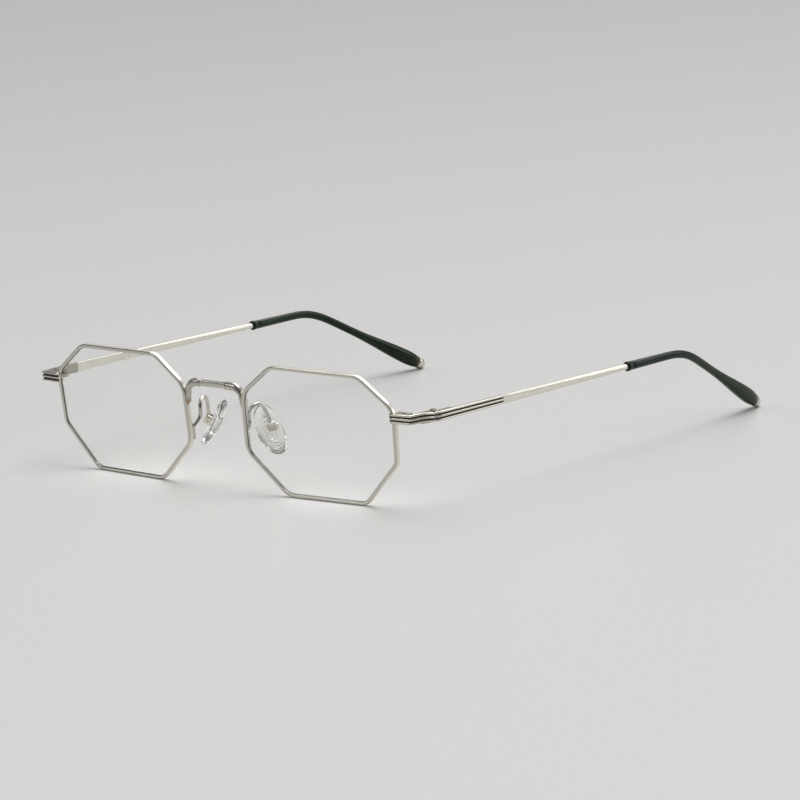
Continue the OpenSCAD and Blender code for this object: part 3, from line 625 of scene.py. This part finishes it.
# Groove share over the bar's height: an ellipse over each of three ribs, full depth between them
def grooveShare(s):
    x = np.min([np.abs(s), np.abs(s - bar["ribAt"]), np.abs(s + bar["ribAt"])], 0) / bar["ribHalf"]
    rib = bar["ribDrop"] * (1 - np.sqrt(1 - np.clip(x, 0, 1) ** bar["ribPower"]))
    rounding = 0.001
    return np.where(x < 1 + rounding, rib, 1.0)


# Section of the bar, (outwards, upwards): a superellipse whose outer half is lowered by the grooves
def barSection(halfW, halfH, groove):
    halfW, halfH, groove = (np.asarray(v, float)[..., None] for v in (halfW, halfH, groove))
    width = halfW * (1 - np.abs(sectionS) ** bar["power"]) ** (1 / bar["power"])
    outwards = np.where(isFront, width - groove * grooveShare(sectionS), -width)
    return np.stack([outwards, halfH * sectionS + 0 * width], -1)


# The grooves' mark: it darkens and dulls the rib grooves with painted shade and grime
ribMark = np.where(isFront, ease(grooveShare(sectionS), *bar["dull"]), 0)


# In plan, the way a run heads and the way its outer face looks, for its angle outwards from the y axis
def course(angle):
    a = math.radians(angle)
    return np.array([math.sin(a), math.cos(a)])


def outward(angle):
    a = math.radians(angle)
    return np.array([math.cos(a), -math.sin(a)])


# The plate and the return meet in a mitre: at each height, where their two faces cross in plan
def endpieceRings():
    halfH, halfT, halfP = bar["height"] / 2, bar["thick"] / 2, bar["plateThick"] / 2
    plate, arm = (barSection(half, halfH, bar["groove"]) for half in (halfP, halfT))
    rings = []
    for inset, shrink in bar["plateEnd"]:
        face = plate * shrink
        rings.append(onFront(bar["plateX"] + inset, bar["plateV"] + face[:, 1],
                             stand["rimDepth"] / 2 + halfP + face[:, 0]))
    # Each face is a line in plan, whose points have the same product c with its normal n
    lean, wrap = math.radians(stand["lean"]), math.radians(stand["wrap"])
    n1, n2 = np.array([math.sin(wrap), -math.cos(wrap)]), outward(bar["flare"][0])
    c1 = (bar["plateV"] + plate[:, 1]) * math.sin(lean) + (halfP + plate[:, 0]) * math.cos(lean)
    c2 = np.dot(n2, bar["corner"]) - halfT + arm[:, 0]
    cross = n1[0] * n2[1] - n1[1] * n2[0]
    x = (c1 * n2[1] - n1[1] * c2) / cross
    y = (n1[0] * c2 - c1 * n2[0]) / cross
    rings.append(np.stack([x, y + stand["y"], bar["plateZ"] + plate[:, 1]], -1))
    first, second, third = bar["flare"]
    joint = outward((first + second) / 2) / math.cos(math.radians((second - first) / 2))
    last = outward(third)
    for place, axis, height, shift, shrink in (
            (bar["bend"], joint, bar["plateZ"], 0.0, 1.0),
            (bar["seam"], last, bar["templeZ"], -bar["gap"] - bar["chamfer"], 1.0),
            (bar["seam"], last, bar["templeZ"], -bar["gap"], bar["endShare"])):
        centre = np.array(place) - halfT * axis + shift * course(third)
        flat = centre + shrink * arm[:, :1] * axis
        rings.append(np.stack([flat[:, 0], flat[:, 1] + stand["y"], height + shrink * arm[:, 1]], -1))
    return np.array(rings)


endRings = endpieceRings()
for side, sign in sides.items():
    makePiece("endpiece_ribbed_" + side, [ringSkin(mirrored(endRings, sign), recess=ribMark)], "front",
              polishedMetal, ["endpiece_" + side], sharp=45)
print("endpieces made")

# Temple: ribs run out into a flat side that slims into a rod, then the core wire inside the tip. Its line
# falls evenly, then turns down and in over a smooth step of slope between two runs. The ribs' stations are
# counted from the kink, and those in ribEnds back from the ribs' end
temple = dict(ribLen=24.8, ribEndH=2.35, runOut=(0.9, 0.1), ribRuns=[4, 8, 12, 16, 20, 22, 23.4],
              ribEnds=[0.95, 0.8, 0.6, 0.4, 0.2, 0.1, 0.0], flatShare=0.995, flatRings=30, softenRun=2.5,
              lap=0.3, collarRun=75.1, fall=0.01136, rodR=0.78, coreR=0.6, coreStart=(-0.3, 1, 5),
              coreBend=88, coreEnd=132.0, bendFrom=91.2, bendTo=108.8, tipRun=139.4, tipZ=0.74,
              tipInset=6.7, powerDrops=(4, 3), flatAround=72, coreSteps=40, coreAround=16)
templeX = bar["kink"][0] - bar["thick"] / 2
startPoint = np.array([templeX, bar["kink"][1], bar["templeZ"]])
startDir = unit([0, 1, -temple["fall"]])
afterBend = temple["tipRun"] - (temple["bendFrom"] + temple["bendTo"]) / 2
turnDown = (bar["templeZ"] - temple["fall"] * temple["tipRun"] - temple["tipZ"]) / afterBend
turnIn = temple["tipInset"] / afterBend
standing = np.array([0, stand["y"], 0])


# With t the share of the bend, the slope grows by t^2 (3 - 2t) and the drop by its integral t^3 - t^4 / 2
def earPath(run):
    run = np.asarray(run, float)
    length = temple["bendTo"] - temple["bendFrom"]
    t = np.clip((run - temple["bendFrom"]) / length, 0, 1)
    drop = length * (t ** 3 - t ** 4 / 2) + np.clip(run - temple["bendTo"], 0, None)
    height = -temple["fall"] * run - turnDown * drop
    return startPoint + standing + np.stack([-turnIn * drop, run, height], -1)


def earDir(run):
    slope = ease(run, temple["bendFrom"], temple["bendTo"])
    return unit(np.stack([-turnIn * slope, np.ones_like(slope), -temple["fall"] - turnDown * slope], -1))


def straightRun(run):
    return startPoint + startDir * (np.asarray(run, float)[:, None] / startDir[1]) + standing


# Sections set upright and square to the y axis along the straight part
def alongTemple(run, sections):
    side, up = np.tile([1.0, 0, 0], (len(run), 1)), np.tile([0, 0, 1.0], (len(run), 1))
    return sweep(straightRun(run), side, up, sections)


def squareAxes(direction):
    side = unit(np.cross(direction, np.broadcast_to([0, 0, 1], direction.shape)))
    return side, np.cross(side, direction)


# Sections square to the temple's own line, with its bend
def alongEar(run, halfW, halfH, around, power=2.0):
    side, up = squareAxes(earDir(run))
    return sweep(earPath(run), side, up, superRing(around, halfW, halfH, power))


# The other side's skin: mirrored over x, with its faces turned back outwards
def turned(skin, sign):
    points, faces, marks = skin
    return skin if sign > 0 else (points * [-1, 1, 1], [face[::-1] for face in faces], marks)


# Ribbed part: the bar's section from the seam to the kink, then straight, where the grooves run out
def ribbedSkin():
    halfT, ribLen, flare = bar["thick"] / 2, temple["ribLen"], bar["flare"][2]
    section = barSection(halfT, bar["height"] / 2, bar["groove"])
    rings = []
    for place, turn, shift, shrink in ((bar["seam"], flare, 0.0, bar["endShare"]),
                                       (bar["seam"], flare, bar["chamfer"], 1.0),
                                       (bar["kink"], flare / 2, 0.0, 1.0)):
        flat = np.array(place) + shift * course(flare) + (shrink * section[:, :1] - halfT) * outward(turn)
        rings.append(np.stack([flat[:, 0], flat[:, 1] + stand["y"],
                               bar["templeZ"] + shrink * section[:, 1]], -1))
    run = np.concatenate([temple["ribRuns"], ribLen - np.array(temple["ribEnds"])])
    halfH = (bar["height"] + (temple["ribEndH"] - bar["height"]) * run / ribLen) / 2
    fade = 1 - ease(run, *(ribLen - np.array(temple["runOut"])))
    swept = alongTemple(run, barSection(halfT, halfH, bar["groove"] * fade))
    mark = ribMark * np.concatenate([np.ones(len(rings)), fade])[:, None]
    return ringSkin(np.concatenate([np.array(rings), swept]), recess=mark, satin=1.0 * ~isFront)


# Flat side: from the ribs' end its half sizes run evenly to the rod's radius. Its section's power falls from
# the bar's in two drops, over the first stretch and with the root of the share, down to a circle's 2
def flatSkin():
    ribLen, span = temple["ribLen"], temple["collarRun"] - temple["ribLen"]
    run = ribLen + np.concatenate([[-temple["lap"]], span * np.linspace(0, 1, temple["flatRings"])])
    t = np.clip((run - ribLen) / span, 0, 1)
    halfH = temple["ribEndH"] / 2 * (1 - t) + temple["rodR"] * t
    halfW = temple["flatShare"] * bar["thick"] / 2 * (1 - t) + temple["rodR"] * t
    firstDrop, restDrop = temple["powerDrops"]
    first = firstDrop * ease(run, ribLen, ribLen + temple["softenRun"])
    power = bar["power"] - first - restDrop * np.sqrt(t)
    return ringSkin(alongTemple(run, superRing(temple["flatAround"], halfW, halfH, power)), satin=1.0)


def coreSkin():
    run = np.concatenate([temple["collarRun"] + np.array(temple["coreStart"]),
                          np.linspace(temple["coreBend"], temple["coreEnd"], temple["coreSteps"])])
    size = np.full(len(run), temple["coreR"])
    return ringSkin(alongEar(run, size, size, temple["coreAround"]))


for side, sign in sides.items():
    ribs, flat, core = (turned(skin, sign) for skin in (ribbedSkin(), flatSkin(), coreSkin()))
    makePiece("temple_ribs_" + side, [ribs], "temple_" + side, templeMetal,
              ["temple_" + side], sharp=45)
    makePiece("temple_side_" + side, [flat, core], "temple_" + side, templeMetal, sharp=80)
print("temples made")

# Tip sleeve: half heights run from the collar over the slim bend to the paddle, which rounds off at the
# seam. Its first stations lie in lead, past the lip, and its last in close, before the seam
tip = dict(startR=1.2, slimR=1.08, wideR=2.05, seamR=1.62, flat=0.86, power=2.3, around=40, lipLen=1.9,
           lead=(0, 0.15, 2.0, 5.0, 8.0), growRun=12, slimRun=92.0, swellFrom=112.0, swellPower=1.3,
           wideRun=133.2, closePower=1.8, seamRun=136.9, close=(0.3, 0.1, 0.0), endShare=0.94,
           roundShare=0.985, bore=0.65, boreSpare=0.5, steps=62, boreSteps=36)


def tipHalfHeight(run):
    slim = tip["startR"] + (tip["slimR"] - tip["startR"]) * ease(run, temple["collarRun"], tip["slimRun"])
    swell = (tip["wideR"] - tip["slimR"]) * ease(run, tip["swellFrom"], tip["wideRun"]) ** tip["swellPower"]
    close = np.clip((run - tip["wideRun"]) / (tip["seamRun"] - tip["wideRun"]), 0, 1) ** tip["closePower"]
    return slim + swell - (tip["wideR"] - tip["seamR"]) * close


# The sleeve is a tube: its outside out to the seam, then its bore back
def tipRings():
    lead = temple["collarRun"] + tip["lipLen"] + np.array(tip["lead"])
    run = np.concatenate([lead, np.linspace(lead[-1], tip["seamRun"], tip["steps"])[1:-1],
                          tip["seamRun"] - np.array(tip["close"])])
    halfH = tipHalfHeight(run)
    halfH[[0, -1]] *= tip["endShare"]
    halfH[-2] *= tip["roundShare"]
    grown = ease(run, lead[0], lead[0] + tip["growRun"])
    flat, power = 1 - (1 - tip["flat"]) * grown, 2 + (tip["power"] - 2) * grown
    outside = alongEar(run, halfH * flat, halfH, tip["around"], power)
    bore = np.linspace(temple["coreEnd"] + tip["boreSpare"], temple["coreBend"], tip["boreSteps"])
    run = np.concatenate([bore, lead[[3, 2, 0]]])
    size = np.full(len(run), tip["bore"])
    return outside, alongEar(run, size, size, tip["around"])


# Tube closed on itself: rings joined in a loop, so its mouth is open and its far end solid
def tubeSkin(outside, inside):
    rings = np.concatenate([outside, inside])
    m, n = rings.shape[:2]
    cut = len(outside)
    quads = np.delete(ringQuads(m, n, loop=True), cut - 1, 0).reshape(-1, 4)
    points = np.vstack([rings.reshape(-1, 3), outside[-1].mean(0), inside[0].mean(0)])
    faces = facingOut(points, quads, ringFan((cut - 1) * n, n, m * n, backwards=True),
                      ringFan(cut * n, n, m * n + 1))
    return points, faces, {}


# Lip at the sleeve's mouth: a flared bead as (along, radius), closed by its bore
lip = dict(bore=0.66, gap=0.02, bead=[(0.0, 1.04), (0.05, 1.18), (0.18, 1.29), (0.35, 1.33), (0.6, 1.32),
                                      (0.9, 1.28), (1.5, 1.26), (1.75, 1.22), (1.88, 1.10)])


def lipSkin(sign):
    outer = np.array(lip["bead"])
    inner = outer[::-1] * [1, 0] + [0, lip["bore"]]
    along, radius = np.concatenate([outer, inner]).T
    side, up = squareAxes(np.tile(startDir, (len(along), 1)))
    rings = sweep(straightRun(temple["collarRun"] + lip["gap"] + along), side, up,
                  superRing(tip["around"], radius, radius))
    m, n = rings.shape[:2]
    points = mirrored(rings, sign).reshape(-1, 3)
    return points, facingOut(points, ringQuads(m, n, loop=True).reshape(-1, 4)), {}


# End cap: carries the paddle on past the seam to a round end. With d the share of the cap's length, the
# section shrinks as the root of 1 - d^2.6
cap = dict(gap=0.03, length=2.5, power=2.6, rings=20, seamShare=0.95)


def capRings():
    d = np.sin(np.linspace(0, 1, cap["rings"]) * np.pi / 2)[:-1]
    run = tip["seamRun"] + cap["gap"] + cap["length"] * d
    halfH = tip["seamR"] * np.sqrt(1 - d ** cap["power"])
    halfH[0] *= cap["seamShare"]
    return alongEar(run, halfH * tip["flat"], halfH, tip["around"], tip["power"])


outside, inside = tipRings()
for side, sign in sides.items():
    body = "temple_" + side
    makePiece("tip_sleeve_" + side, [tubeSkin(mirrored(outside, sign), mirrored(inside, sign))], body,
              greenAcetate, ["temple_tip_" + side], sharp=50)
    makePiece("tip_lip_" + side, [lipSkin(sign)], body, greenAcetate,
              ["tip_collar_" + side], sharp=50)
    makePiece("tip_cap_" + side, [ringSkin(mirrored(capRings(), sign))], body,
              polishedMetal, ["end_cap_" + side], sharp=50)
print("tips made")

# Pad arm: a strip on the back of the rim, with its ends rounded in rows of (share of its length, share of
# its size), and a wire looped up and back down to the box, flattened over its first stations
arm = dict(wireR=0.525, wireAround=18, wireSteps=9, wireFlat=0.18, flatStations=22, footX=9.95, footV=11.7,
           footLen=4.2, footW=1.0, footT=0.75, footPower=5, footInset=0.12, footSink=0.02, footAround=20,
           foot=[
               (0, 0.80), (0.02, 0.92), (0.06, 0.98), (0.14, 1), (0.3, 1), (0.5, 1), (0.7, 1), (0.86, 1),
               (0.94, 0.98), (0.98, 0.92), (1.0, 0.80)], points=[
               (9.91, 1.27, 15.92), (9.51, 2.37, 17.12), (9.21, 3.17, 18.32), (9.06, 3.27, 19.92),
               (9.21, 3.47, 21.42), (9.61, 4.37, 22.52), (10.16, 5.97, 22.97), (10.46, 7.12, 22.17),
               (10.78, 7.82, 20.57), (11.05, 8.28, 19.0), (11.36, 8.55, 17.5)])


def wireRings():
    path = throughPoints(arm["points"], arm["wireSteps"]) + standing
    side, up = pathAxes(path, (1, 0, 0))
    size = np.full(len(path), arm["wireR"])
    flatten = 1 - arm["wireFlat"] * ease(np.arange(len(path)), arm["flatStations"], 0)
    return sweep(path, side, up, superRing(arm["wireAround"], size * flatten, size))


def footRings():
    along, size = np.array(arm["foot"]).T
    strip = superRing(arm["footAround"], size * arm["footW"] / 2, size * arm["footT"] / 2, arm["footPower"])
    return onFront(arm["footX"] + arm["footW"] / 2 - arm["footInset"] + strip[..., 0],
                   (arm["footV"] + arm["footLen"] * along)[:, None],
                   -stand["rimDepth"] / 2 - arm["footT"] / 2 + arm["footSink"] + strip[..., 1])


for side, sign in sides.items():
    skins = [ringSkin(mirrored(rings, sign)) for rings in (wireRings(), footRings())]
    makePiece("pad_wire_" + side, skins, "front", polishedMetal, ["pad_arm_" + side],
              sharp=50)
print("pad arms made")

# Nose pad: a moulded slab on a grid of share of the radius and angle, bowed along its length and rounded at
# its rim. Its own axes run along it, across it and out of its face
pad = dict(centre=(11.6, 8.8, 16.2), along=(0.539031, -0.0798564, -0.838492),
           across=(-0.452104, -0.867367, -0.208032), face=(-0.710667, 0.491221, -0.503641), length=14.3,
           width=7.1, back=1.4, thick=2.0, bow=1.0, around=160, rings=104, hub=0.02, sidePower=0.85,
           boxRise=1.2, boxRound=(9, 0.42), noseRise=1.22, noseRound=(5, 0.45))
# Relief of the box side as (height, from, to). Over the share of the radius: a ledge and a ring. Over the
# reach inside an edge: two sunk D-shaped windows and a raised frame round them. Over the distance in
# millimetres from the box's middle line: a bracket ridge on both sides of ridgeAt, and a seat that keeps the
# pad clear of the box when it rocks
relief = dict(ledge=(-0.34, 0.80, 0.83), ringIn=(0.26, 0.60, 0.63), ringOut=(-0.26, 0.68, 0.71),
              window=(-0.55, 0.0, 0.10), frame=(0.24, -0.30, -0.20), ridge=(0.26, 0.10, 0.20),
              seat=(-0.28, 1.56, 1.66), windowShare=0.53, windowDepth=4.6, windowX=2.7, boxX=0.9,
              ridgeAt=1.78)


def padPlace(x, y, z):
    axes = (np.asarray(v, float)[..., None] * np.array(pad[key])
            for v, key in ((x, "along"), (y, "across"), (z, "face")))
    return np.array(pad["centre"]) + standing + sum(axes)


def padRelief(x, y, r):
    def rise(over, key):
        height, low, high = relief[key]
        return height * ease(over, low, high)

    def fall(over, key):
        return relief[key][0] - rise(over, key)

    window = np.minimum((relief["windowShare"] - r) * relief["windowDepth"], np.abs(x) - relief["windowX"])
    fromBox = np.hypot(np.clip(np.abs(x) - relief["boxX"], 0, None), y)
    fromRidge = np.abs(fromBox - relief["ridgeAt"])
    return (rise(r, "ledge") + rise(r, "ringIn") + rise(r, "ringOut") + rise(window, "window")
            + rise(window, "frame") + fall(fromRidge, "ridge") + fall(fromBox, "seat"))


# A face's height falls to the rim as a power of 1 - r to a high power
def padSkin(sign):
    angle = 2 * np.pi * np.arange(pad["around"]) / pad["around"]
    share = np.sin(np.linspace(pad["hub"], 1, pad["rings"]) * np.pi / 2)
    rows = np.concatenate([share, share[-2::-1]])
    isBack = (np.arange(len(rows)) < len(share))[:, None]
    c, s = np.cos(angle), np.sin(angle)
    x = rows[:, None] * pad["length"] / 2 * c
    y = rows[:, None] * pad["width"] / 2 * np.sign(s) * np.abs(s) ** pad["sidePower"]
    r = rows[:, None] + 0 * x
    boxRound, noseRound = (np.clip(1 - r ** inner, 0, 1) ** outer
                           for inner, outer in (pad["boxRound"], pad["noseRound"]))
    low, high = -(pad["boxRise"] + padRelief(x, y, r)) * boxRound, pad["noseRise"] * noseRound
    middle = pad["back"] + pad["thick"] / 2 - pad["bow"] * (2 * x / pad["length"]) ** 2
    return ringSkin(mirrored(padPlace(x, y, middle + np.where(isBack, low, high)), sign))


for side, sign in sides.items():
    makePiece("pad_moulding_" + side, [padSkin(sign)], "pad_" + side, clearPad,
              ["nose_pad_" + side], sharp=70)
print("nose pads made")

# Pad box: a rounded square cup whose two cheeks hold the lug. Outline: a superellipse, and for a cheek only
# its part beyond the slot, closed by a straight line. Its edges are rounded in rows: for the bottom (height,
# share of the size), for a cheek's top (depth below the top, inset), of which the slot's side takes a share
box = dict(halfL=1.45, halfW=1.4, power=3.4, slot=0.65, floorZ=-0.65, bottom=-1.1, top=1.1, lap=0.05,
           around=48, cheekSteps=25, slotShare=-0.5,
           bottomEdge=[(0.0, 0.80), (0.04, 0.90), (0.12, 0.97), (0.24, 1.0)],
           topEdge=[(0.2, 0), (0.08, 0.03), (0.02, 0.09), (0.0, 0.16)])


def boxSkins(sign):
    rise, share = np.array(box["bottomEdge"]).T
    z = np.append(box["bottom"] + rise, box["floorZ"])
    share = np.append(share, 1.0)
    ring = superRing(box["around"], box["halfL"] * share, box["halfW"] * share, box["power"])
    skins = [ringSkin(mirrored(padPlace(ring[..., 0], ring[..., 1], z[:, None] + 0 * ring[..., 0]), sign))]
    reach = box["halfL"] * (1 - (box["slot"] / box["halfW"]) ** box["power"]) ** (1 / box["power"])
    x = reach * np.sin(np.linspace(-np.pi / 2, np.pi / 2, box["cheekSteps"]))
    y = box["halfW"] * (1 - np.abs(x / box["halfL"]) ** box["power"]) ** (1 / box["power"])
    straight = x[-2:0:-3]
    x, y = np.append(x, straight), np.append(y, np.full(len(straight), box["slot"]))
    depth, inset = np.array(box["topEdge"]).T
    z = np.append(box["floorZ"] - box["lap"], box["top"] - depth)
    inset = np.append(0, inset)[:, None]
    tolerance = 0.01
    inwards = np.where(y > box["slot"] + tolerance, 1, box["slotShare"])
    for turn in (1, -1):
        ringX = x * (1 - inset / box["halfL"])
        ringY = turn * (y - inset * inwards)
        skins.append(ringSkin(mirrored(padPlace(ringX, ringY, z[:, None] + 0 * ringX), sign)))
    return skins


for side, sign in sides.items():
    makePiece("pad_cup_" + side, boxSkins(sign), "front", boxMetalPaintedLight, ["pad_box_" + side],
              sharp=45)
print("pad boxes made")

# Small fittings keep their solids' shape, with edges softened by a width: one a side, then the screws
fittings = dict(rim_tab=(0.12, "polished_metal", satinMetal),
                lock_block=(0.10, "polished_metal", polishedMetal),
                hinge_front_leaf=(0.06, "satin_metal", hingeMetalPaintedShade),
                hinge_temple_leaf=(0.06, "satin_metal", hingeMetalPaintedShade), pad_lug=(0.08, "clear_pad", clearPad))
screws = dict(lock_screws=0.06, hinge_screws=0.05, pad_screws=0.08)
for name, (width, slot, material) in fittings.items():
    for side in sides:
        softenedCopy(name + "_" + side, width, material)
for name, width in screws.items():
    softenedCopy(name, width, polishedMetal)
print("fittings made")

# Camera: turned round the target by azimuth and elevation, then rolled about its own axis. Angles in degrees
shot = dict(azimuth=42.34, elevation=11.25, distance=1359.0, roll=-3.27, target=(28.83, -34.59, 19.24),
            lens=231.3, sensor=36.0)


def makeCamera():
    az, el, roll = (math.radians(shot[key]) for key in ("azimuth", "elevation", "roll"))
    back = Vector((math.sin(az) * math.cos(el), -math.cos(az) * math.cos(el), math.sin(el)))
    right = Vector((math.cos(az), math.sin(az), 0))
    up = back.cross(right)
    turnedRight = right * math.cos(roll) + up * math.sin(roll)
    turnedUp = up * math.cos(roll) - right * math.sin(roll)
    cameraData = bpy.data.cameras.new("camera")
    cameraData.lens, cameraData.sensor_width = shot["lens"], shot["sensor"]
    camera = newObject("camera", cameraData)
    place = Matrix.Translation((Vector(shot["target"]) + back * shot["distance"]) * mm)
    camera.matrix_world = place @ Matrix((turnedRight, turnedUp, back)).transposed().to_4x4()
    scene.camera = camera


# Floor: a pale sheet, square to the camera, that runs far back and curves up into a low backdrop. In metres
floor = dict(half=3.0, front=-3.0, bend=3.2, radius=1.2, top=1.25, flatSteps=12, curveSteps=16,
             tones=((0.70, 0.695, 0.68), (0.73, 0.725, 0.71)), shade=700, rough=0.32, gloss=0.35)


def makeFloor():
    a = np.linspace(0, np.pi / 2, floor["curveSteps"])
    back = floor["bend"] + floor["radius"] * np.sin(a)
    y = np.concatenate([np.linspace(floor["front"], floor["bend"], floor["flatSteps"])[:-1], back,
                        back[-1:]])
    z = np.concatenate([np.zeros(floor["flatSteps"] - 1), floor["radius"] * (1 - np.cos(a)), [floor["top"]]])
    x = floor["half"] * np.tile([-1.0, 1.0], (len(y), 1))
    y, z = (np.repeat(v[:, None], 2, 1) for v in (y, z))
    c, s = math.cos(math.radians(shot["azimuth"])), math.sin(math.radians(shot["azimuth"]))
    points = np.stack([x * c - y * s, x * s + y * c, z], -1).reshape(-1, 3)
    i = 2 * np.arange(len(points) // 2 - 1)
    faces = np.stack([i, i + 1, i + 3, i + 2], -1)
    mesh = bpy.data.meshes.new("paleFloor")
    mesh.from_pydata(points.tolist(), [], faces.tolist())
    smooth(mesh)
    material, tree, surface, link = newMaterial("paleFloor")
    shade = useGroup(tree, handling, Scale=floor["shade"], Low=0.0, High=1.0)
    link(mixColours(tree, shade.outputs["Value"], *floor["tones"]), surface.inputs["Base Color"])
    setInputs(surface, Roughness=floor["rough"], Specular_IOR_Level=floor["gloss"])
    mesh.materials.append(material)
    sheet = newObject("paleFloor", mesh)


# World: dim in front of the object and brightest low behind it, so that polished metal shows both. A step is
# the product of a direction with the one behind, and its grey
studio = dict(behind=(-0.12, 0.94, 0.32), steps=[(0.15, (0.13, 0.132, 0.136)), (0.52, (0.26, 0.26, 0.265)),
                                                 (0.90, (0.62, 0.62, 0.613))])


def makeWorld():
    world = bpy.data.worlds.new("studio")
    scene.world = world
    world.use_nodes = True
    tree = world.node_tree
    place = addNode(tree, "ShaderNodeTexCoord")
    towards = addNode(tree, "ShaderNodeVectorMath", dict(operation="DOT_PRODUCT"))
    towards.inputs[1].default_value = studio["behind"]
    ramp = addNode(tree, "ShaderNodeValToRGB")
    tree.links.new(place.outputs["Generated"], towards.inputs[0])
    tree.links.new(towards.outputs["Value"], ramp.inputs["Fac"])
    elements = ramp.color_ramp.elements
    elements.new(studio["steps"][1][0])
    for element, (position, grey) in zip(elements, studio["steps"]):
        element.position, element.color = position, (*grey, 1)
    tree.links.new(ramp.outputs["Color"], tree.nodes["Background"].inputs["Color"])
    tree.nodes["Background"].inputs["Strength"].default_value = 1.0


# A broad soft sky light for the whole floor, and soft boxes: place and aim in metres, size and power
sky = dict(source=(-0.25, 0.55, 1.0), angle=55, strength=1.55)
lamps = dict(overhead=dict(at=(0.15, 0.1, 1.25), to=(0, 0, 0), size=(0.9, 0.7), power=4.5),
             frontLeft=dict(at=(-0.9, -1.1, 0.9), to=(0, 0, 0), size=(0.5, 0.35), power=3.0),
             rightBack=dict(at=(0.95, 1.1, 0.55), to=(0, 0, 0.02), size=(1.0, 0.7), power=3.6))


def makeLights():
    light = bpy.data.lights.new("skyLight", "SUN")
    light.energy, light.angle = sky["strength"], math.radians(sky["angle"])
    holder = newObject("skyLight", light)
    holder.rotation_euler = Vector(sky["source"]).to_track_quat("Z", "Y").to_euler()
    for name, lamp in lamps.items():
        light = bpy.data.lights.new(name, "AREA")
        light.shape, light.energy = "RECTANGLE", lamp["power"]
        light.size, light.size_y = lamp["size"]
        holder = newObject(name, light)
        holder.location = lamp["at"]
        aim = Vector(lamp["to"]) - Vector(lamp["at"])
        holder.rotation_euler = aim.to_track_quat("-Z", "Y").to_euler()


makeFloor()
makeWorld()
makeLights()
makeCamera()
print("stage made")
